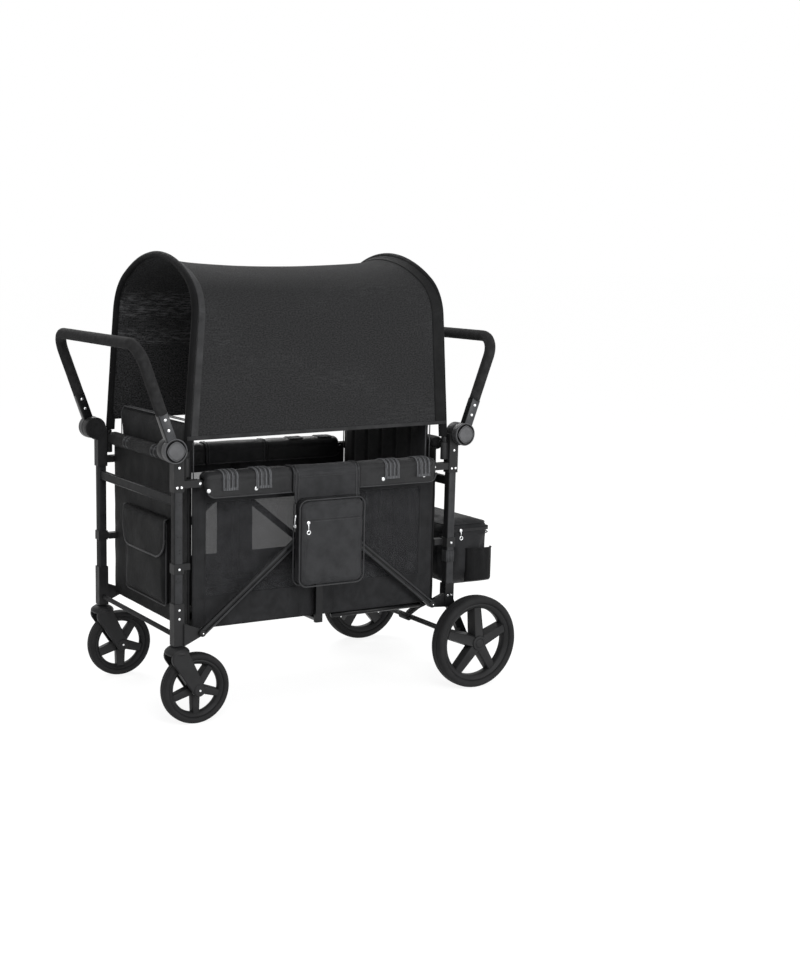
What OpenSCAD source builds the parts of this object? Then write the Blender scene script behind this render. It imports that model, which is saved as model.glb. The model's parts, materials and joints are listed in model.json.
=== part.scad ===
// Folding stroller wagon: four posts, side scissors, fabric tub, arched canopy, two push handles.
// +X points to the fixed-wheel end, +Y to the right side, +Z up. The origin is on the floor,
// under the middle of the whole wagon. Sizes in millimetres.

/* [Frame] */
// Distance between front and rear posts, centre to centre
post_span_x = 888; // [820:1:960]
// Distance between left and right posts, centre to centre
post_span_y = 541; // [500:1:600]
// Side of the square post tube
post_w = 25; // [22:1:28]
// Wall of the post tube
post_wall = 1.6; // [1:0.1:3]
// Wall of the plastic sleeves round the posts
sleeve_wall = 2.4; // [1.5:0.1:4]
// Height of the upper cross tubes, tube centre
cross_tube_z = 623.5; // [590:0.5:630]
// Height of a cross tube's section
cross_tube_h = 25; // [18:1:28]
// Depth of a cross tube's section
cross_tube_t = 12; // [8:1:20]
// Diameter of the lower front tube
low_tube_d = 14; // [10:1:18]
// Height of the collars on the middle of the posts
collar_z = 440; // [400:1:480]
// Height of a collar
collar_h = 28; // [20:1:40]

/* [Scissor sides] */
// Height of the lower scissor pivots
pivot_z = 259; // [250:1:275]
// Height at which the scissor bars cross
cross_z = 562; // [545:1:575]
// Part of a bar above the crossing, as a share of the part below it
bar_upper_share = 0.356; // [0.34:0.002:0.37]
// Width of a scissor bar
bar_w = 20; // [17:1:26]
// Thickness of a scissor bar
bar_t = 8; // [5:1:10]
// Reach of the pivot lugs inwards from the post centres
lug_reach = 64; // [58:1:72]
// Diameter of the rods that carry the bars and the floor
rod_d = 12; // [10:1:14]
// Diameter of the crossing pins
cross_pin_d = 10; // [8:1:12]
// Diameter of a side rail tube
rail_d = 20; // [16:1:22]
// Diameter of the rail pivot pins
rail_pin_d = 8; // [6:1:10]
// Width of the centre struts along the wagon
strut_w = 22; // [16:1:28]
// Thickness of the centre struts
strut_t = 12; // [8:1:13]
// Diameter of the tube across the centre struts
strut_tube_d = 16; // [12:1:20]

/* [Wheels] */
// Diameter of the rear wheels
rear_wheel_d = 280; // [250:1:300]
// Width of the rear tyres
rear_wheel_w = 50; // [40:1:56]
// Distance of the middles of the rear tyres outwards from the post centres
rear_stand_out = 51.5; // [48:0.5:70]
// Distance of the rear axle behind the rear posts
axle_back = 67; // [50:1:90]
// Diameter of the rear axle
axle_d = 14; // [10:1:18]
// Reach of a rear hub outwards from the middle of its tyre
rear_hub_out = 34; // [27:1:40]
// Diameter of the front wheels
front_wheel_d = 200; // [180:1:210]
// Width of the front tyres
front_wheel_w = 37; // [30:1:40]
// Distance of a front axle behind its swivel axis
caster_trail = 54; // [40:1:60]
// Diameter of the front axle bolts
bolt_d = 10; // [8:1:12]
// Diameter of the caster stems
stem_d = 16; // [12:1:18]

/* [Handles] */
// Distance of the handle pivots outwards from the post centres
hub_offset = 21; // [15:1:28]
// Height of the handle pivots over the side rails
hub_rise = 95; // [88:1:110]
// Diameter of the handle hubs
hub_d = 64; // [58:1:70]
// Thickness of the turning half of a hub
hub_t = 25.5; // [25:0.5:30]
// Length of the handle arms, pivot to grip centre
arm_len = 300; // [260:1:330]
// Diameter of the handle tube
arm_d = 22; // [18:1:24]
// Diameter of the foam grip
grip_d = 32; // [28:1:38]
// Distance from pivot to the start of the foam
grip_start = 105; // [80:1:140]
// Bend radius of the handle tube
arm_bend_r = 60; // [45:1:90]
// Tilt of the handles outwards from upright
handle_tilt = 20; // [10:1:30]
// Diameter of the hub buttons
button_d = 44; // [36:1:50]

/* [Canopy] */
// Height of the canopy's top edge at the hoops
canopy_top_z = 1285; // [1200:1:1350]
// Height at which the straight hoop legs end
hoop_straight_z = 1110; // [1050:1:1130]
// Corner radius of the hoops
hoop_corner_r = 120; // [100:1:150]
// Diameter of the hoop rods
hoop_d = 12; // [10:1:14]
// Distance of the hoop legs inwards from the post centres
hoop_inset = 26; // [25:1:32]
// Lean of the hoops towards the middle
hoop_lean = 4.1; // [2:0.1:6]
// Height of the canopy's lower edge
canopy_edge_z = 795; // [780:1:840]
// Sag of the canopy between the hoops
canopy_sag = 42; // [20:1:60]
// Thickness of the canopy cloth
canopy_t = 2; // [1.5:0.1:4]

/* [Fabric tub] */
// Thickness of the side walls
wall_t = 4; // [3:0.5:6]
// Depth of the mesh windows in the side walls
window_depth = 2.4; // [1:0.1:2.6]
// Thickness of the end panels
panel_t = 7; // [4:0.5:9]
// Distance of the end panels' outer faces inwards from the post centres
panel_inset = 44; // [38:1:48]
// Diameter of the padded rolls on top of the end panels
roll_d = 40; // [30:1:44]
// Height of the padded rolls' centres
roll_z = 735; // [725:1:745]
// Thickness of the rail covers' sides
cover_t = 3; // [2:0.5:4]
// Thickness of the padding on top of the rails
cover_pad_t = 18; // [10:1:24]
// Height of the seat backs' top edges
back_top_z = 835; // [780:1:870]
// Thickness of the seat backs at their edges
back_edge_t = 14; // [8:1:18]
// Swell of the seat backs over their edges
back_crown = 10; // [4:1:14]
// Thickness of the floor boards
board_t = 8; // [5:1:10]
// Length of the floor plate between the two floor boards
plate_len = 100; // [90:1:150]
// Thickness of the seat pads at their edges
pad_edge_t = 16; // [8:1:22]
// Swell of the seat pads over their edges
pad_crown = 12; // [4:1:18]

/* [Bags] */
// Width of the side pocket
pocket_w = 217; // [180:1:240]
// Height of the side pocket
pocket_h = 250; // [200:1:260]
// Depth of the side pocket
pocket_depth = 40; // [25:1:42]
// Width of the front pocket
front_pocket_w = 290; // [220:1:340]
// Height of the front pocket
front_pocket_h = 250; // [200:1:270]
// Depth of the front pocket
front_pocket_depth = 20; // [10:1:24]
// Length of the rear bag away from the wagon
bag_depth = 170; // [120:1:180]
// Width of the rear bag
bag_w = 470; // [380:1:480]
// Height of the rear bag
bag_h = 220; // [160:1:220]
// Height of the rear bag's underside
bag_bottom_z = 270; // [262:1:300]

/* [Brake] */
// Diameter of the brake bar
brake_bar_d = 10; // [8:1:12]
// Distance of the brake bar in front of the axle
brake_ahead = 33; // [28:1:40]
// Height of the brake bar over the axle
brake_rise = 10; // [5:1:16]
// Length of the pedal from the bar
pedal_len = 100; // [80:1:115]
// Angle of the raised pedal above level
pedal_angle = 31; // [28:1:40]

/* [Hidden] */
$fn = 48;

// Clearances
fit = 0.1;
run = 0.05;
gap = 0.3;
soft_gap = 1;
bar_gap = 0.5;
overrun = 1;

// Colours of the finishes
satin_black = "#26272a";
plastic_black = "#1c1d1f";
cloth_black = "#202124";
cloth_grey = "#303134";
foam_black = "#17181a";
rubber_black = "#141416";
bright_steel = "#c9cbce";

// Places of the posts and of the pieces on them
post_x = post_span_x / 2;
post_y = post_span_y / 2;
sleeve_w = post_w + 2 * (fit + sleeve_wall);
sleeve_y = post_y + sleeve_w / 2;
bore_w = post_w + 2 * fit;
post_face_y = post_y - post_w / 2;

// Scissor: lower pivots, crossing, upper ends
pivot_x = post_x - lug_reach;
cross_rise = cross_z - pivot_z;
rail_z = cross_z + bar_upper_share * cross_rise;
tip_x = bar_upper_share * pivot_x;
bar_angle = atan2(cross_rise, pivot_x);
lower_arm = norm([pivot_x, cross_rise]);
bar_len = lower_arm * (1 + bar_upper_share);

// Layers across the wagon, from the inside out
rail_eye_w = 12;
rail_lug_t = 6;
rail_lug_w = 20;
rail_flat_len = 30;
lug_t = 12;
lug_y = post_y + rail_eye_w / 2 + gap + rail_lug_t;
bar_b_y = lug_y + bar_gap;
bar_a_y = bar_b_y + bar_t + bar_gap;
bar_out_y = bar_a_y + bar_t;
wall_y = post_face_y - soft_gap;
cover_in_y = wall_y - wall_t - gap - cover_t;
cover_out_y = bar_out_y + soft_gap + cover_t;

// Upper brackets
bracket_below = 20;
bracket_above = 65;
bracket_cap = 5;
bracket_z = rail_z - bracket_below;
bracket_top_z = rail_z + bracket_above;
post_top_z = bracket_top_z - bracket_cap;
socket_wall = 4;
socket_h = 50;
socket_floor = 5;
socket_z = bracket_top_z + bracket_cap - socket_h;
socket_top_z = socket_z + socket_h;

// Handle hubs
hub_x = post_x + hub_offset;
hub_z = rail_z + hub_rise;
hub_pin_d = 16;
hub_pin_len = 14;
hub_y = sleeve_y + gap;
arm_y = hub_y + hub_t / 2;
arm_socket = 20;
button_t = 7;
button_travel = 4;
button_proud = 3;
button_cap_share = 0.82;
button_seat = button_t - button_proud + button_travel + gap;
arm_start = button_d / 2 + sleeve_wall;
tube_wall = 1.5;

// Wheels and casters
rear_wheel_r = rear_wheel_d / 2;
front_wheel_r = front_wheel_d / 2;
axle_x = post_x + axle_back;
rear_wheel_y = post_y + rear_stand_out;
rear_tyre_h = 22;
rear_rim_h = 16;
rear_hub_d = 48;
rear_hub_in = 20;
hub_cap_t = 6;
front_tyre_h = 18;
front_rim_h = 14;
front_hub_d = 34;
spoke_count = 5;
rear_spoke_root = 32;
rear_spoke_tip = 24;
front_spoke_root = 23;
front_spoke_tip = 17;
spoke_t = 12;
spoke_sink = 4;
tyre_edge = 9;
crown_gap = 6;
crown_h = 20;
crown_r = 33;
crown_z = front_wheel_d + crown_gap;
stem_len = 28;
fork_arm_t = 11;
fork_gap = 3;
fork_arm_in = front_wheel_w / 2 + fork_gap;
fork_boss_r = 19;
fork_root_half = 24;
bolt_head_d = 15;
bolt_head_t = 5;

// Lower brackets and legs
front_sleeve_z = crown_z + crown_h + gap;
front_sleeve_above = 85;
front_sleeve_top_z = pivot_z + front_sleeve_above;
front_plug_h = 32;
front_post_z = front_sleeve_z + front_plug_h;
rear_sleeve_below = 14;
rear_sleeve_above = 56;
rear_sleeve_z = pivot_z - rear_sleeve_below;
rear_sleeve_top_z = pivot_z + rear_sleeve_above;
rear_post_z = rear_sleeve_z + bracket_cap;
lug_h = 30;
leg_w = 26;
leg_t = 18;
leg_y = post_y - leg_t / 2;
axle_boss_d = 36;
brake_boss_d = 28;
boss_proud = 1.5;
brake_web_h = 16;
brake_web_inset = 2;
leg_len = norm([axle_back, rear_sleeve_z + lug_h - rear_wheel_r]);
leg_angle = atan2(axle_back, rear_sleeve_z + lug_h - rear_wheel_r);
axle_end_y = rear_wheel_y + rear_hub_out - hub_cap_t - gap;

// Tub
panel_x = post_x - panel_inset;
panel_in_x = panel_x - panel_t;
tub_lift = 3;
tub_bottom_z = pivot_z + tub_lift;
panel_top_z = roll_z - roll_d / 4;
wall_drop = 8;
wall_top_z = rail_z - rail_d / 2 - wall_drop;
wall_end_x = panel_in_x - gap;
wall_mid_x = 8;
window_margin_x = 52;
window_rise = 77;
window_drop = 58;
window_low_z = tub_bottom_z + window_rise;
window_high_z = wall_top_z - window_drop;
roll_out = 2;
roll_x = panel_in_x + roll_out + roll_d / 2;
roll_tube_d = 16;
roll_half_y = post_y - sleeve_w / 2 - soft_gap;
roll_tube_half_y = post_y - hoop_d / 2 - socket_wall - gap;
cover_seat_z = rail_z + max(rail_d, bar_w) / 2 + gap;
cover_top_z = cover_seat_z + cover_pad_t;
cover_drop = 30;
cover_low_z = rail_z - cover_drop;
cover_corner_r = 18;
cover_end_gap = 18;
cover_end_x = panel_in_x - cover_end_gap;
cover_mid_x = pocket_w / 2;
back_half_y = 235;
back_rise = 17;
pad_half_y = 232;
pad_start = 62;
board_side_gap = 4;
board_half_y = wall_y - wall_t - board_side_gap;
plate_gap = 4;
plate_half_x = plate_len / 2;
board_len = pivot_x - plate_half_x - plate_gap;
knuckle_wall = 3;
knuckle_d = rod_d + 2 * knuckle_wall;
floor_z = pivot_z;
pad_z = floor_z + board_t + gap;
back_low_z = pad_z + pad_edge_t + pad_crown + back_rise;
strut_tube_z = floor_z - strut_tube_d / 2;

// Rivets and pins
rivet_d = 7;
rivet_h = 2;
rivet_pair = 13;
pin_head_t = 2;
pin_head_over = 2;
pin_head_d = rod_d + 2 * pin_head_over;
top_rivet_share = 0.72;
low_rivet_shares = [0.65, 0.86];

// Bags
pocket_y = cover_out_y + gap;
pocket_drop = 55;
pocket_top_z = rail_z - pocket_drop;
pocket_corner_r = 24;
pocket_flap_t = 4;
pocket_flap_top_z = cover_top_z - cover_corner_r / 2;
front_pocket_rise = 38;
front_pocket_z = tub_bottom_z + front_pocket_rise;
front_flap_h = 130;
front_flap_t = 4;
bag_x = post_x + sleeve_w / 2 + gap;
bag_corner_r = 28;
bag_lid_t = 12;
bag_lid_over = 4;
bag_strap_t = 2;
bag_strap_h = 34;
bag_strap_rise = 112;
bag_strap_z = bag_bottom_z + bag_strap_rise;
cup_w = 90;
cup_h = 105;
cup_depth = 16;
cup_low = 12;

// Brake
brake_x = axle_x - brake_ahead;
brake_z = rear_wheel_r + brake_rise;
brake_end_over = 12;
brake_end_y = post_y + leg_t / 2 + brake_end_over;
dog_t = 8;
dog_d = 22;
dog_len = 26;
pedal_w = 44;
pedal_t = 8;
pedal_boss_d = 22;
pedal_arm_w = 20;
pedal_pad_share = 0.45;

// Canopy arch: straight legs, two corner arcs and one wide arc over the top
hoop_x = post_x - hoop_inset;
hoop_low_z = socket_z + socket_floor + gap;
hoop_collar_h = 16;
hoop_collar_wall = 3;
hoop_collar_z = socket_top_z + gap;
hoop_bend_z = hoop_collar_z + hoop_collar_h / 2;
hoop_r = hoop_d / 2;
hoop_joint_wall = 0.4;
hoop_joint_len = 10;
cloth_lift = 1;
hoop_top_z = canopy_top_z - canopy_t - cloth_lift - hoop_r;
lean_cos = cos(hoop_lean);
arch_w = post_y;
arch_spring = (hoop_straight_z - hoop_bend_z) / lean_cos;
arch_rise = (hoop_top_z - hoop_straight_z) / lean_cos;
arch_turn = 90 - 2 * atan((arch_rise - hoop_corner_r) / (arch_w - hoop_corner_r));
arch_side = arch_w - hoop_corner_r;
arch_span = arch_side / cos(arch_turn);
arch_top_r = hoop_corner_r + arch_span;
arch_drop = arch_span * sin(arch_turn);

// Middle of the whole wagon, which becomes the origin
front_reach = hub_x + arm_len * sin(handle_tilt) + grip_d / 2;
rear_reach = axle_x + rear_wheel_r;
mid_x = (rear_reach - front_reach) / 2;

// Helpers

module placed() {
  translate([-mid_x, 0, 0]) children();
}

module both_sides() {
  children();
  mirror([0, 1, 0]) children();
}

module front_end() {
  mirror([1, 0, 0]) children();
}

module along_y(d, y0, y1) {
  translate([0, y0, 0]) rotate([-90, 0, 0]) cylinder(d = d, h = y1 - y0);
}

module round_tube(d, half) {
  difference() {
    along_y(d, -half, half);
    along_y(d - 2 * tube_wall, -half - overrun, half + overrun);
  }
}

module span_box(low, high) {
  translate(low) cube(high - low);
}

module rounded_rect(w, h, r) {
  translate([-w / 2 + r, -h / 2]) square([w - 2 * r, h]);
  translate([-w / 2, -h / 2 + r]) square([w, h - 2 * r]);
  for (sx = [-1, 1], sy = [-1, 1]) translate([sx * (w / 2 - r), sy * (h / 2 - r)]) circle(r);
}

// Posts with the pieces riveted to them

module post(low_z) {
  translate([post_x, post_y, low_z]) difference() {
    translate([-post_w / 2, -post_w / 2, 0]) cube([post_w, post_w, post_top_z - low_z]);
    translate([-post_w / 2 + post_wall, -post_w / 2 + post_wall, -overrun])
      cube([post_w - 2 * post_wall, post_w - 2 * post_wall, post_top_z - low_z + 2 * overrun]);
  }
}

module post_bore(z0, z1) {
  translate([post_x - bore_w / 2, post_y - bore_w / 2, z0]) cube([bore_w, bore_w, z1 - z0]);
}

module post_sleeve(z0, z1) {
  translate([post_x - sleeve_w / 2, post_y - sleeve_w / 2, z0]) cube([sleeve_w, sleeve_w, z1 - z0]);
}

module upper_bracket() {
  difference() {
    union() {
      post_sleeve(bracket_z, bracket_top_z);
      span_box([post_x - sleeve_w / 2, post_y - sleeve_w / 2, post_top_z], [hub_x, sleeve_y, hub_z]);
      translate([hub_x, 0, hub_z]) along_y(hub_d, post_y - sleeve_w / 2, sleeve_y);
      translate([hub_x, 0, hub_z]) along_y(hub_pin_d, post_y, hub_y + hub_pin_len);
      translate([hoop_x, post_y, socket_z]) cylinder(d = hoop_d + 2 * socket_wall, h = socket_h);
      span_box([hoop_x, post_y - hoop_r, socket_z],
               [post_x - post_w / 2 - fit, post_y + hoop_r, socket_top_z - bracket_cap]);
      for (side = [-1, 1]) rail_lug(side);
    }
    post_bore(bracket_z - overrun, post_top_z + fit);
    translate([hoop_x, post_y, socket_z + socket_floor]) cylinder(d = hoop_d + 2 * run, h = socket_h);
    translate([pivot_x, 0, rail_z]) along_y(rail_pin_d + 2 * fit, post_y - sleeve_w, post_y + sleeve_w);
  }
}

module rail_lug(side) {
  y0 = post_y + side * (rail_eye_w / 2 + gap + rail_lug_t / 2) - rail_lug_t / 2;
  translate([pivot_x, 0, rail_z]) along_y(rail_lug_w, y0, y0 + rail_lug_t);
  span_box([pivot_x, y0, rail_z - rail_lug_w / 2],
           [post_x - post_w / 2 - fit, y0 + rail_lug_t, rail_z + rail_lug_w / 2]);
}

// Lug that carries a scissor pivot, with its outer face at face_y
module pivot_lug(face_y, low_z) {
  translate([0, face_y, 0]) rotate([90, 0, 0]) linear_extrude(lug_t) difference() {
    union() {
      polygon([
        [post_x - post_w / 2 - fit, low_z],
        [pivot_x, pivot_z - bar_w / 2],
        [pivot_x, pivot_z + bar_w / 2],
        [post_x - post_w / 2 - fit, pivot_z + lug_h]
      ]);
      translate([pivot_x, pivot_z]) circle(d = bar_w);
    }
    translate([pivot_x, pivot_z]) circle(d = rod_d + 2 * fit);
  }
}

module front_lower_bracket() {
  difference() {
    union() {
      post_sleeve(front_sleeve_z, front_sleeve_top_z);
      pivot_lug(bar_a_y - bar_gap, front_sleeve_z);
    }
    post_bore(front_post_z, front_sleeve_top_z + overrun);
    translate([post_x, post_y, front_sleeve_z - overrun]) cylinder(d = stem_d + 2 * run, h = front_plug_h);
  }
}

// Rear leg: sleeve on the post, pivot lug, and an arm down to the axle and the brake bar
module rear_leg() {
  difference() {
    union() {
      post_sleeve(rear_sleeve_z, rear_sleeve_top_z);
      pivot_lug(lug_y, rear_sleeve_z);
      translate([axle_x, leg_y, rear_wheel_r]) rotate([0, -leg_angle, 0])
        translate([-leg_w / 2, 0, 0]) cube([leg_w, leg_t, leg_len]);
      translate([axle_x, 0, rear_wheel_r])
        along_y(axle_boss_d, leg_y - boss_proud, leg_y + leg_t + boss_proud);
      translate([brake_x, 0, brake_z])
        along_y(brake_boss_d, leg_y - boss_proud, leg_y + leg_t + boss_proud);
      translate([axle_x, leg_y, rear_wheel_r]) rotate([0, atan2(brake_rise, brake_ahead), 0])
        translate([-brake_ahead, brake_web_inset, -brake_web_h / 2])
          cube([brake_ahead, leg_t - 2 * brake_web_inset, brake_web_h]);
    }
    post_bore(rear_post_z, rear_sleeve_top_z + overrun);
    translate([axle_x, 0, rear_wheel_r])
      along_y(axle_d + 2 * fit, leg_y - leg_t, leg_y + 2 * leg_t);
    translate([brake_x, 0, brake_z])
      along_y(brake_bar_d + 2 * run, leg_y - leg_t, leg_y + 2 * leg_t);
  }
}

module collar() {
  difference() {
    union() {
      post_sleeve(collar_z - collar_h / 2, collar_z + collar_h / 2);
      span_box([panel_x + gap, post_y - sleeve_w, collar_z - collar_h / 3],
               [post_x - post_w / 2 - fit, post_y - sleeve_w / 4, collar_z + collar_h / 3]);
    }
    post_bore(collar_z - collar_h, collar_z + collar_h);
  }
}

// Tubes across one end: the flat upper tube, the bar in the padded roll and the rod under the floor
module end_tubes(rod_end_y) {
  half = post_face_y - fit;
  translate([post_x, half, cross_tube_z]) rotate([90, 0, 0]) linear_extrude(2 * half) difference() {
    square([cross_tube_t, cross_tube_h], center = true);
    square([cross_tube_t - 2 * tube_wall, cross_tube_h - 2 * tube_wall], center = true);
  }
  translate([roll_x, 0, roll_z]) round_tube(roll_tube_d, roll_tube_half_y);
  translate([pivot_x, 0, pivot_z]) along_y(rod_d, -rod_end_y, rod_end_y);
}

module low_tube() {
  half = post_y - sleeve_w / 2 - fit;
  translate([post_x, 0, front_sleeve_z + front_plug_h - low_tube_d / 2]) round_tube(low_tube_d, half);
}

module rivet(x, z) {
  translate([post_x + x, sleeve_y, z]) rotate([-90, 0, 0]) cylinder(d = rivet_d, h = rivet_h);
}

module upper_rivets() {
  rivet(0, rail_z + bracket_above * top_rivet_share);
  for (s = [-1, 1]) rivet(s * rivet_pair / 2, rail_z - bracket_below / 3);
  rivet(0, collar_z);
}

module rail_pin() {
  half = rail_eye_w / 2 + gap + rail_lug_t;
  translate([pivot_x, 0, rail_z]) along_y(rail_pin_d, post_y - half, post_y + half);
}

module rod_nut(y0) {
  translate([pivot_x, 0, pivot_z]) along_y(pin_head_d, y0 + gap, y0 + gap + pin_head_t);
}

// Scissor sides

module scissor_bar(inner_y) {
  translate([pivot_x, 0, pivot_z]) rotate([0, bar_angle, 0]) difference() {
    union() {
      span_box([-bar_len, inner_y, -bar_w / 2], [0, inner_y + bar_t, bar_w / 2]);
      for (x = [0, -bar_len]) translate([x, 0, 0]) along_y(bar_w, inner_y, inner_y + bar_t);
    }
    along_y(rod_d + 2 * run, inner_y - overrun, inner_y + bar_t + overrun);
    translate([-lower_arm, 0, 0])
      along_y(cross_pin_d + 2 * run, inner_y - overrun, inner_y + bar_t + overrun);
  }
}

module cross_pin() {
  translate([0, 0, cross_z]) {
    along_y(cross_pin_d, post_y - strut_t / 2, bar_out_y);
    along_y(cross_pin_d + rivet_d, post_y + strut_t / 2 + gap, bar_b_y - gap);
  }
}

// Struts hung from the crossings and the tube that joins them under the floor
module strut() {
  difference() {
    union() {
      span_box([-strut_w / 2, post_y - strut_t / 2, strut_tube_z - strut_tube_d / 2],
               [strut_w / 2, post_y + strut_t / 2, cross_z]);
      translate([0, 0, cross_z]) along_y(strut_w, post_y - strut_t / 2, post_y + strut_t / 2);
    }
    translate([0, 0, cross_z]) along_y(cross_pin_d + 2 * run, 0, sleeve_y);
  }
}

module rail() {
  difference() {
    union() {
      translate([tip_x, post_y, rail_z]) rotate([0, 90, 0])
        cylinder(d = rail_d, h = pivot_x - tip_x - rail_d);
      span_box([pivot_x - rail_flat_len, post_y - rail_eye_w / 2, rail_z - rail_lug_w / 2],
               [pivot_x, post_y + rail_eye_w / 2, rail_z + rail_lug_w / 2]);
      translate([pivot_x, 0, rail_z]) along_y(rail_lug_w, post_y - rail_eye_w / 2, post_y + rail_eye_w / 2);
    }
    translate([tip_x - overrun, post_y, rail_z]) rotate([0, 90, 0])
      cylinder(d = rail_d - 2 * tube_wall, h = pivot_x - tip_x - 2 * rail_d);
    translate([pivot_x, 0, rail_z]) along_y(rail_pin_d + 2 * run, post_y - rail_d, post_y + rail_d);
  }
}

// Fabric cover over a rail: an upturned trough from x0 to x1, open below
module rail_cover(x0, x1) {
  w = cover_out_y - cover_in_y;
  h = cover_top_z - cover_low_z;
  translate([x0, (cover_in_y + cover_out_y) / 2, cover_low_z])
    rotate([90, 0, 90]) linear_extrude(x1 - x0) difference() {
      intersection() {
        translate([0, h / 2 - cover_corner_r]) rounded_rect(w, h + 2 * cover_corner_r, cover_corner_r);
        translate([-w, 0]) square([2 * w, h]);
      }
      translate([-w / 2 + cover_t, -overrun])
        square([w - 2 * cover_t, cover_seat_z - cover_low_z + overrun]);
    }
}

// Tub

module half_wall() {
  difference() {
    span_box([wall_mid_x, wall_y - wall_t, tub_bottom_z], [wall_end_x, wall_y, wall_top_z]);
    span_box([wall_mid_x + window_margin_x / 2, wall_y - window_depth, window_low_z],
             [wall_end_x - window_margin_x, wall_y + overrun, window_high_z]);
    translate([pivot_x, 0, pivot_z]) along_y(rod_d + 2 * gap, wall_y - wall_t - overrun, wall_y + overrun);
  }
}

module end_panel() {
  difference() {
    union() {
      span_box([panel_in_x, -wall_y, tub_bottom_z], [panel_x, wall_y, panel_top_z]);
      translate([roll_x, 0, roll_z]) along_y(roll_d, -roll_half_y, roll_half_y);
    }
    translate([roll_x, 0, roll_z]) along_y(roll_tube_d + 2 * fit, -post_y, post_y);
  }
}

// Sewn cushion lying on z = 0: crowned top, sides drawn in between the corners, sewn channels across
cushion_cols = 10;
cushion_rows = 18;
cushion_draw = 8;
channel_depth = 5;
channel_shares = [-0.333, 0.333];
channel_width_share = 0.1;

function cushion_xy(u, v, w, l) = [
  u * (w / 2 - cushion_draw * (1 - v * v)),
  v * (l / 2 - cushion_draw * (1 - u * u))
];

function channel_dip(v) = max([for (c = channel_shares) exp(-pow((v - c) / channel_width_share, 2))]);

function cushion_top(u, v, edge, crown) =
  edge + (1 - pow(u, 4)) * (1 - pow(v, 4)) * (crown - channel_depth * channel_dip(v));

// Closed skin of two grids, with ni by nj cells, whose points list the upper grid first
function grid_index(i, j, nj) = i * (nj + 1) + j;

function skin_faces(ni, nj) = let (low = (ni + 1) * (nj + 1)) concat(
  [for (i = [0:ni - 1], j = [0:nj - 1])
    [grid_index(i, j, nj), grid_index(i, j + 1, nj), grid_index(i + 1, j + 1, nj)]],
  [for (i = [0:ni - 1], j = [0:nj - 1])
    [grid_index(i, j, nj), grid_index(i + 1, j + 1, nj), grid_index(i + 1, j, nj)]],
  [for (i = [0:ni - 1], j = [0:nj - 1])
    [low + grid_index(i, j, nj), low + grid_index(i + 1, j + 1, nj), low + grid_index(i, j + 1, nj)]],
  [for (i = [0:ni - 1], j = [0:nj - 1])
    [low + grid_index(i, j, nj), low + grid_index(i + 1, j, nj), low + grid_index(i + 1, j + 1, nj)]],
  [for (i = [0:ni - 1]) each edge_faces(grid_index(i + 1, 0, nj), grid_index(i, 0, nj), low)],
  [for (i = [0:ni - 1]) each edge_faces(grid_index(i, nj, nj), grid_index(i + 1, nj, nj), low)],
  [for (j = [0:nj - 1]) each edge_faces(grid_index(0, j, nj), grid_index(0, j + 1, nj), low)],
  [for (j = [0:nj - 1]) each edge_faces(grid_index(ni, j + 1, nj), grid_index(ni, j, nj), low)]
);

function edge_faces(a, b, low) = [[b, a, low + a], [b, low + a, low + b]];

module cushion(w, l, edge, crown) {
  us = [for (i = [0:cushion_cols]) -1 + 2 * i / cushion_cols];
  vs = [for (j = [0:cushion_rows]) -1 + 2 * j / cushion_rows];
  upper = [for (u = us, v = vs) concat(cushion_xy(u, v, w, l), cushion_top(u, v, edge, crown))];
  lower = [for (u = us, v = vs) concat(cushion_xy(u, v, w, l), 0)];
  polyhedron(concat(upper, lower), skin_faces(cushion_cols, cushion_rows));
}

module seat_back() {
  translate([wall_end_x, 0, (back_low_z + back_top_z) / 2]) rotate([0, -90, 0])
    cushion(back_top_z - back_low_z, 2 * back_half_y, back_edge_t, back_crown);
}

module floor_board() {
  difference() {
    union() {
      span_box([pivot_x - board_len, -board_half_y, floor_z], [pivot_x, board_half_y, floor_z + board_t]);
      translate([pivot_x, 0, pivot_z]) along_y(knuckle_d, -board_half_y, board_half_y);
    }
    translate([pivot_x, 0, pivot_z]) along_y(rod_d + 2 * run, -post_y, post_y);
  }
}

module seat_pad() {
  far = pivot_x - knuckle_d;
  translate([(far + pad_start) / 2, 0, pad_z])
    cushion(far - pad_start, 2 * pad_half_y, pad_edge_t, pad_crown);
}

// Canopy

// Hoop: legs in the sockets, a stop collar at each bend, and the leaning arch
module hoop() {
  both_sides() {
    translate([hoop_x, post_y, hoop_low_z])
      cylinder(d = hoop_d, h = hoop_collar_z + hoop_collar_h / 4 - hoop_low_z);
    translate([hoop_x, post_y, hoop_collar_z])
      cylinder(d = hoop_d + 2 * hoop_collar_wall, h = hoop_collar_h);
  }
  translate([hoop_x, 0, hoop_bend_z]) rotate([0, -hoop_lean, 0]) hoop_arch();
}

module hoop_arch() {
  both_sides() {
    translate([0, arch_w, hoop_collar_h / 4]) cylinder(d = hoop_d, h = arch_spring - hoop_collar_h / 4);
    translate([0, arch_side, arch_spring]) rotate([90, 0, 90])
      rotate_extrude(angle = arch_turn) translate([hoop_corner_r, 0]) circle(d = hoop_d);
    translate([0, arch_side, arch_spring]) rotate([arch_turn, 0, 0])
      translate([0, hoop_corner_r, -hoop_joint_len / 2])
        cylinder(d = hoop_d + 2 * hoop_joint_wall, h = hoop_joint_len);
  }
  translate([0, 0, arch_spring - arch_drop]) rotate([arch_turn, 0, 0]) rotate([90, 0, 90])
    rotate_extrude(angle = 180 - 2 * arch_turn) translate([arch_top_r, 0]) circle(d = hoop_d);
}

cloth_columns = 12;
cloth_leg_steps = 4;
cloth_corner_steps = 8;
cloth_top_steps = 10;
cloth_over = 9;
cloth_hem = 18;
edge_rise = (canopy_edge_z - hoop_bend_z) / lean_cos;

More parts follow.
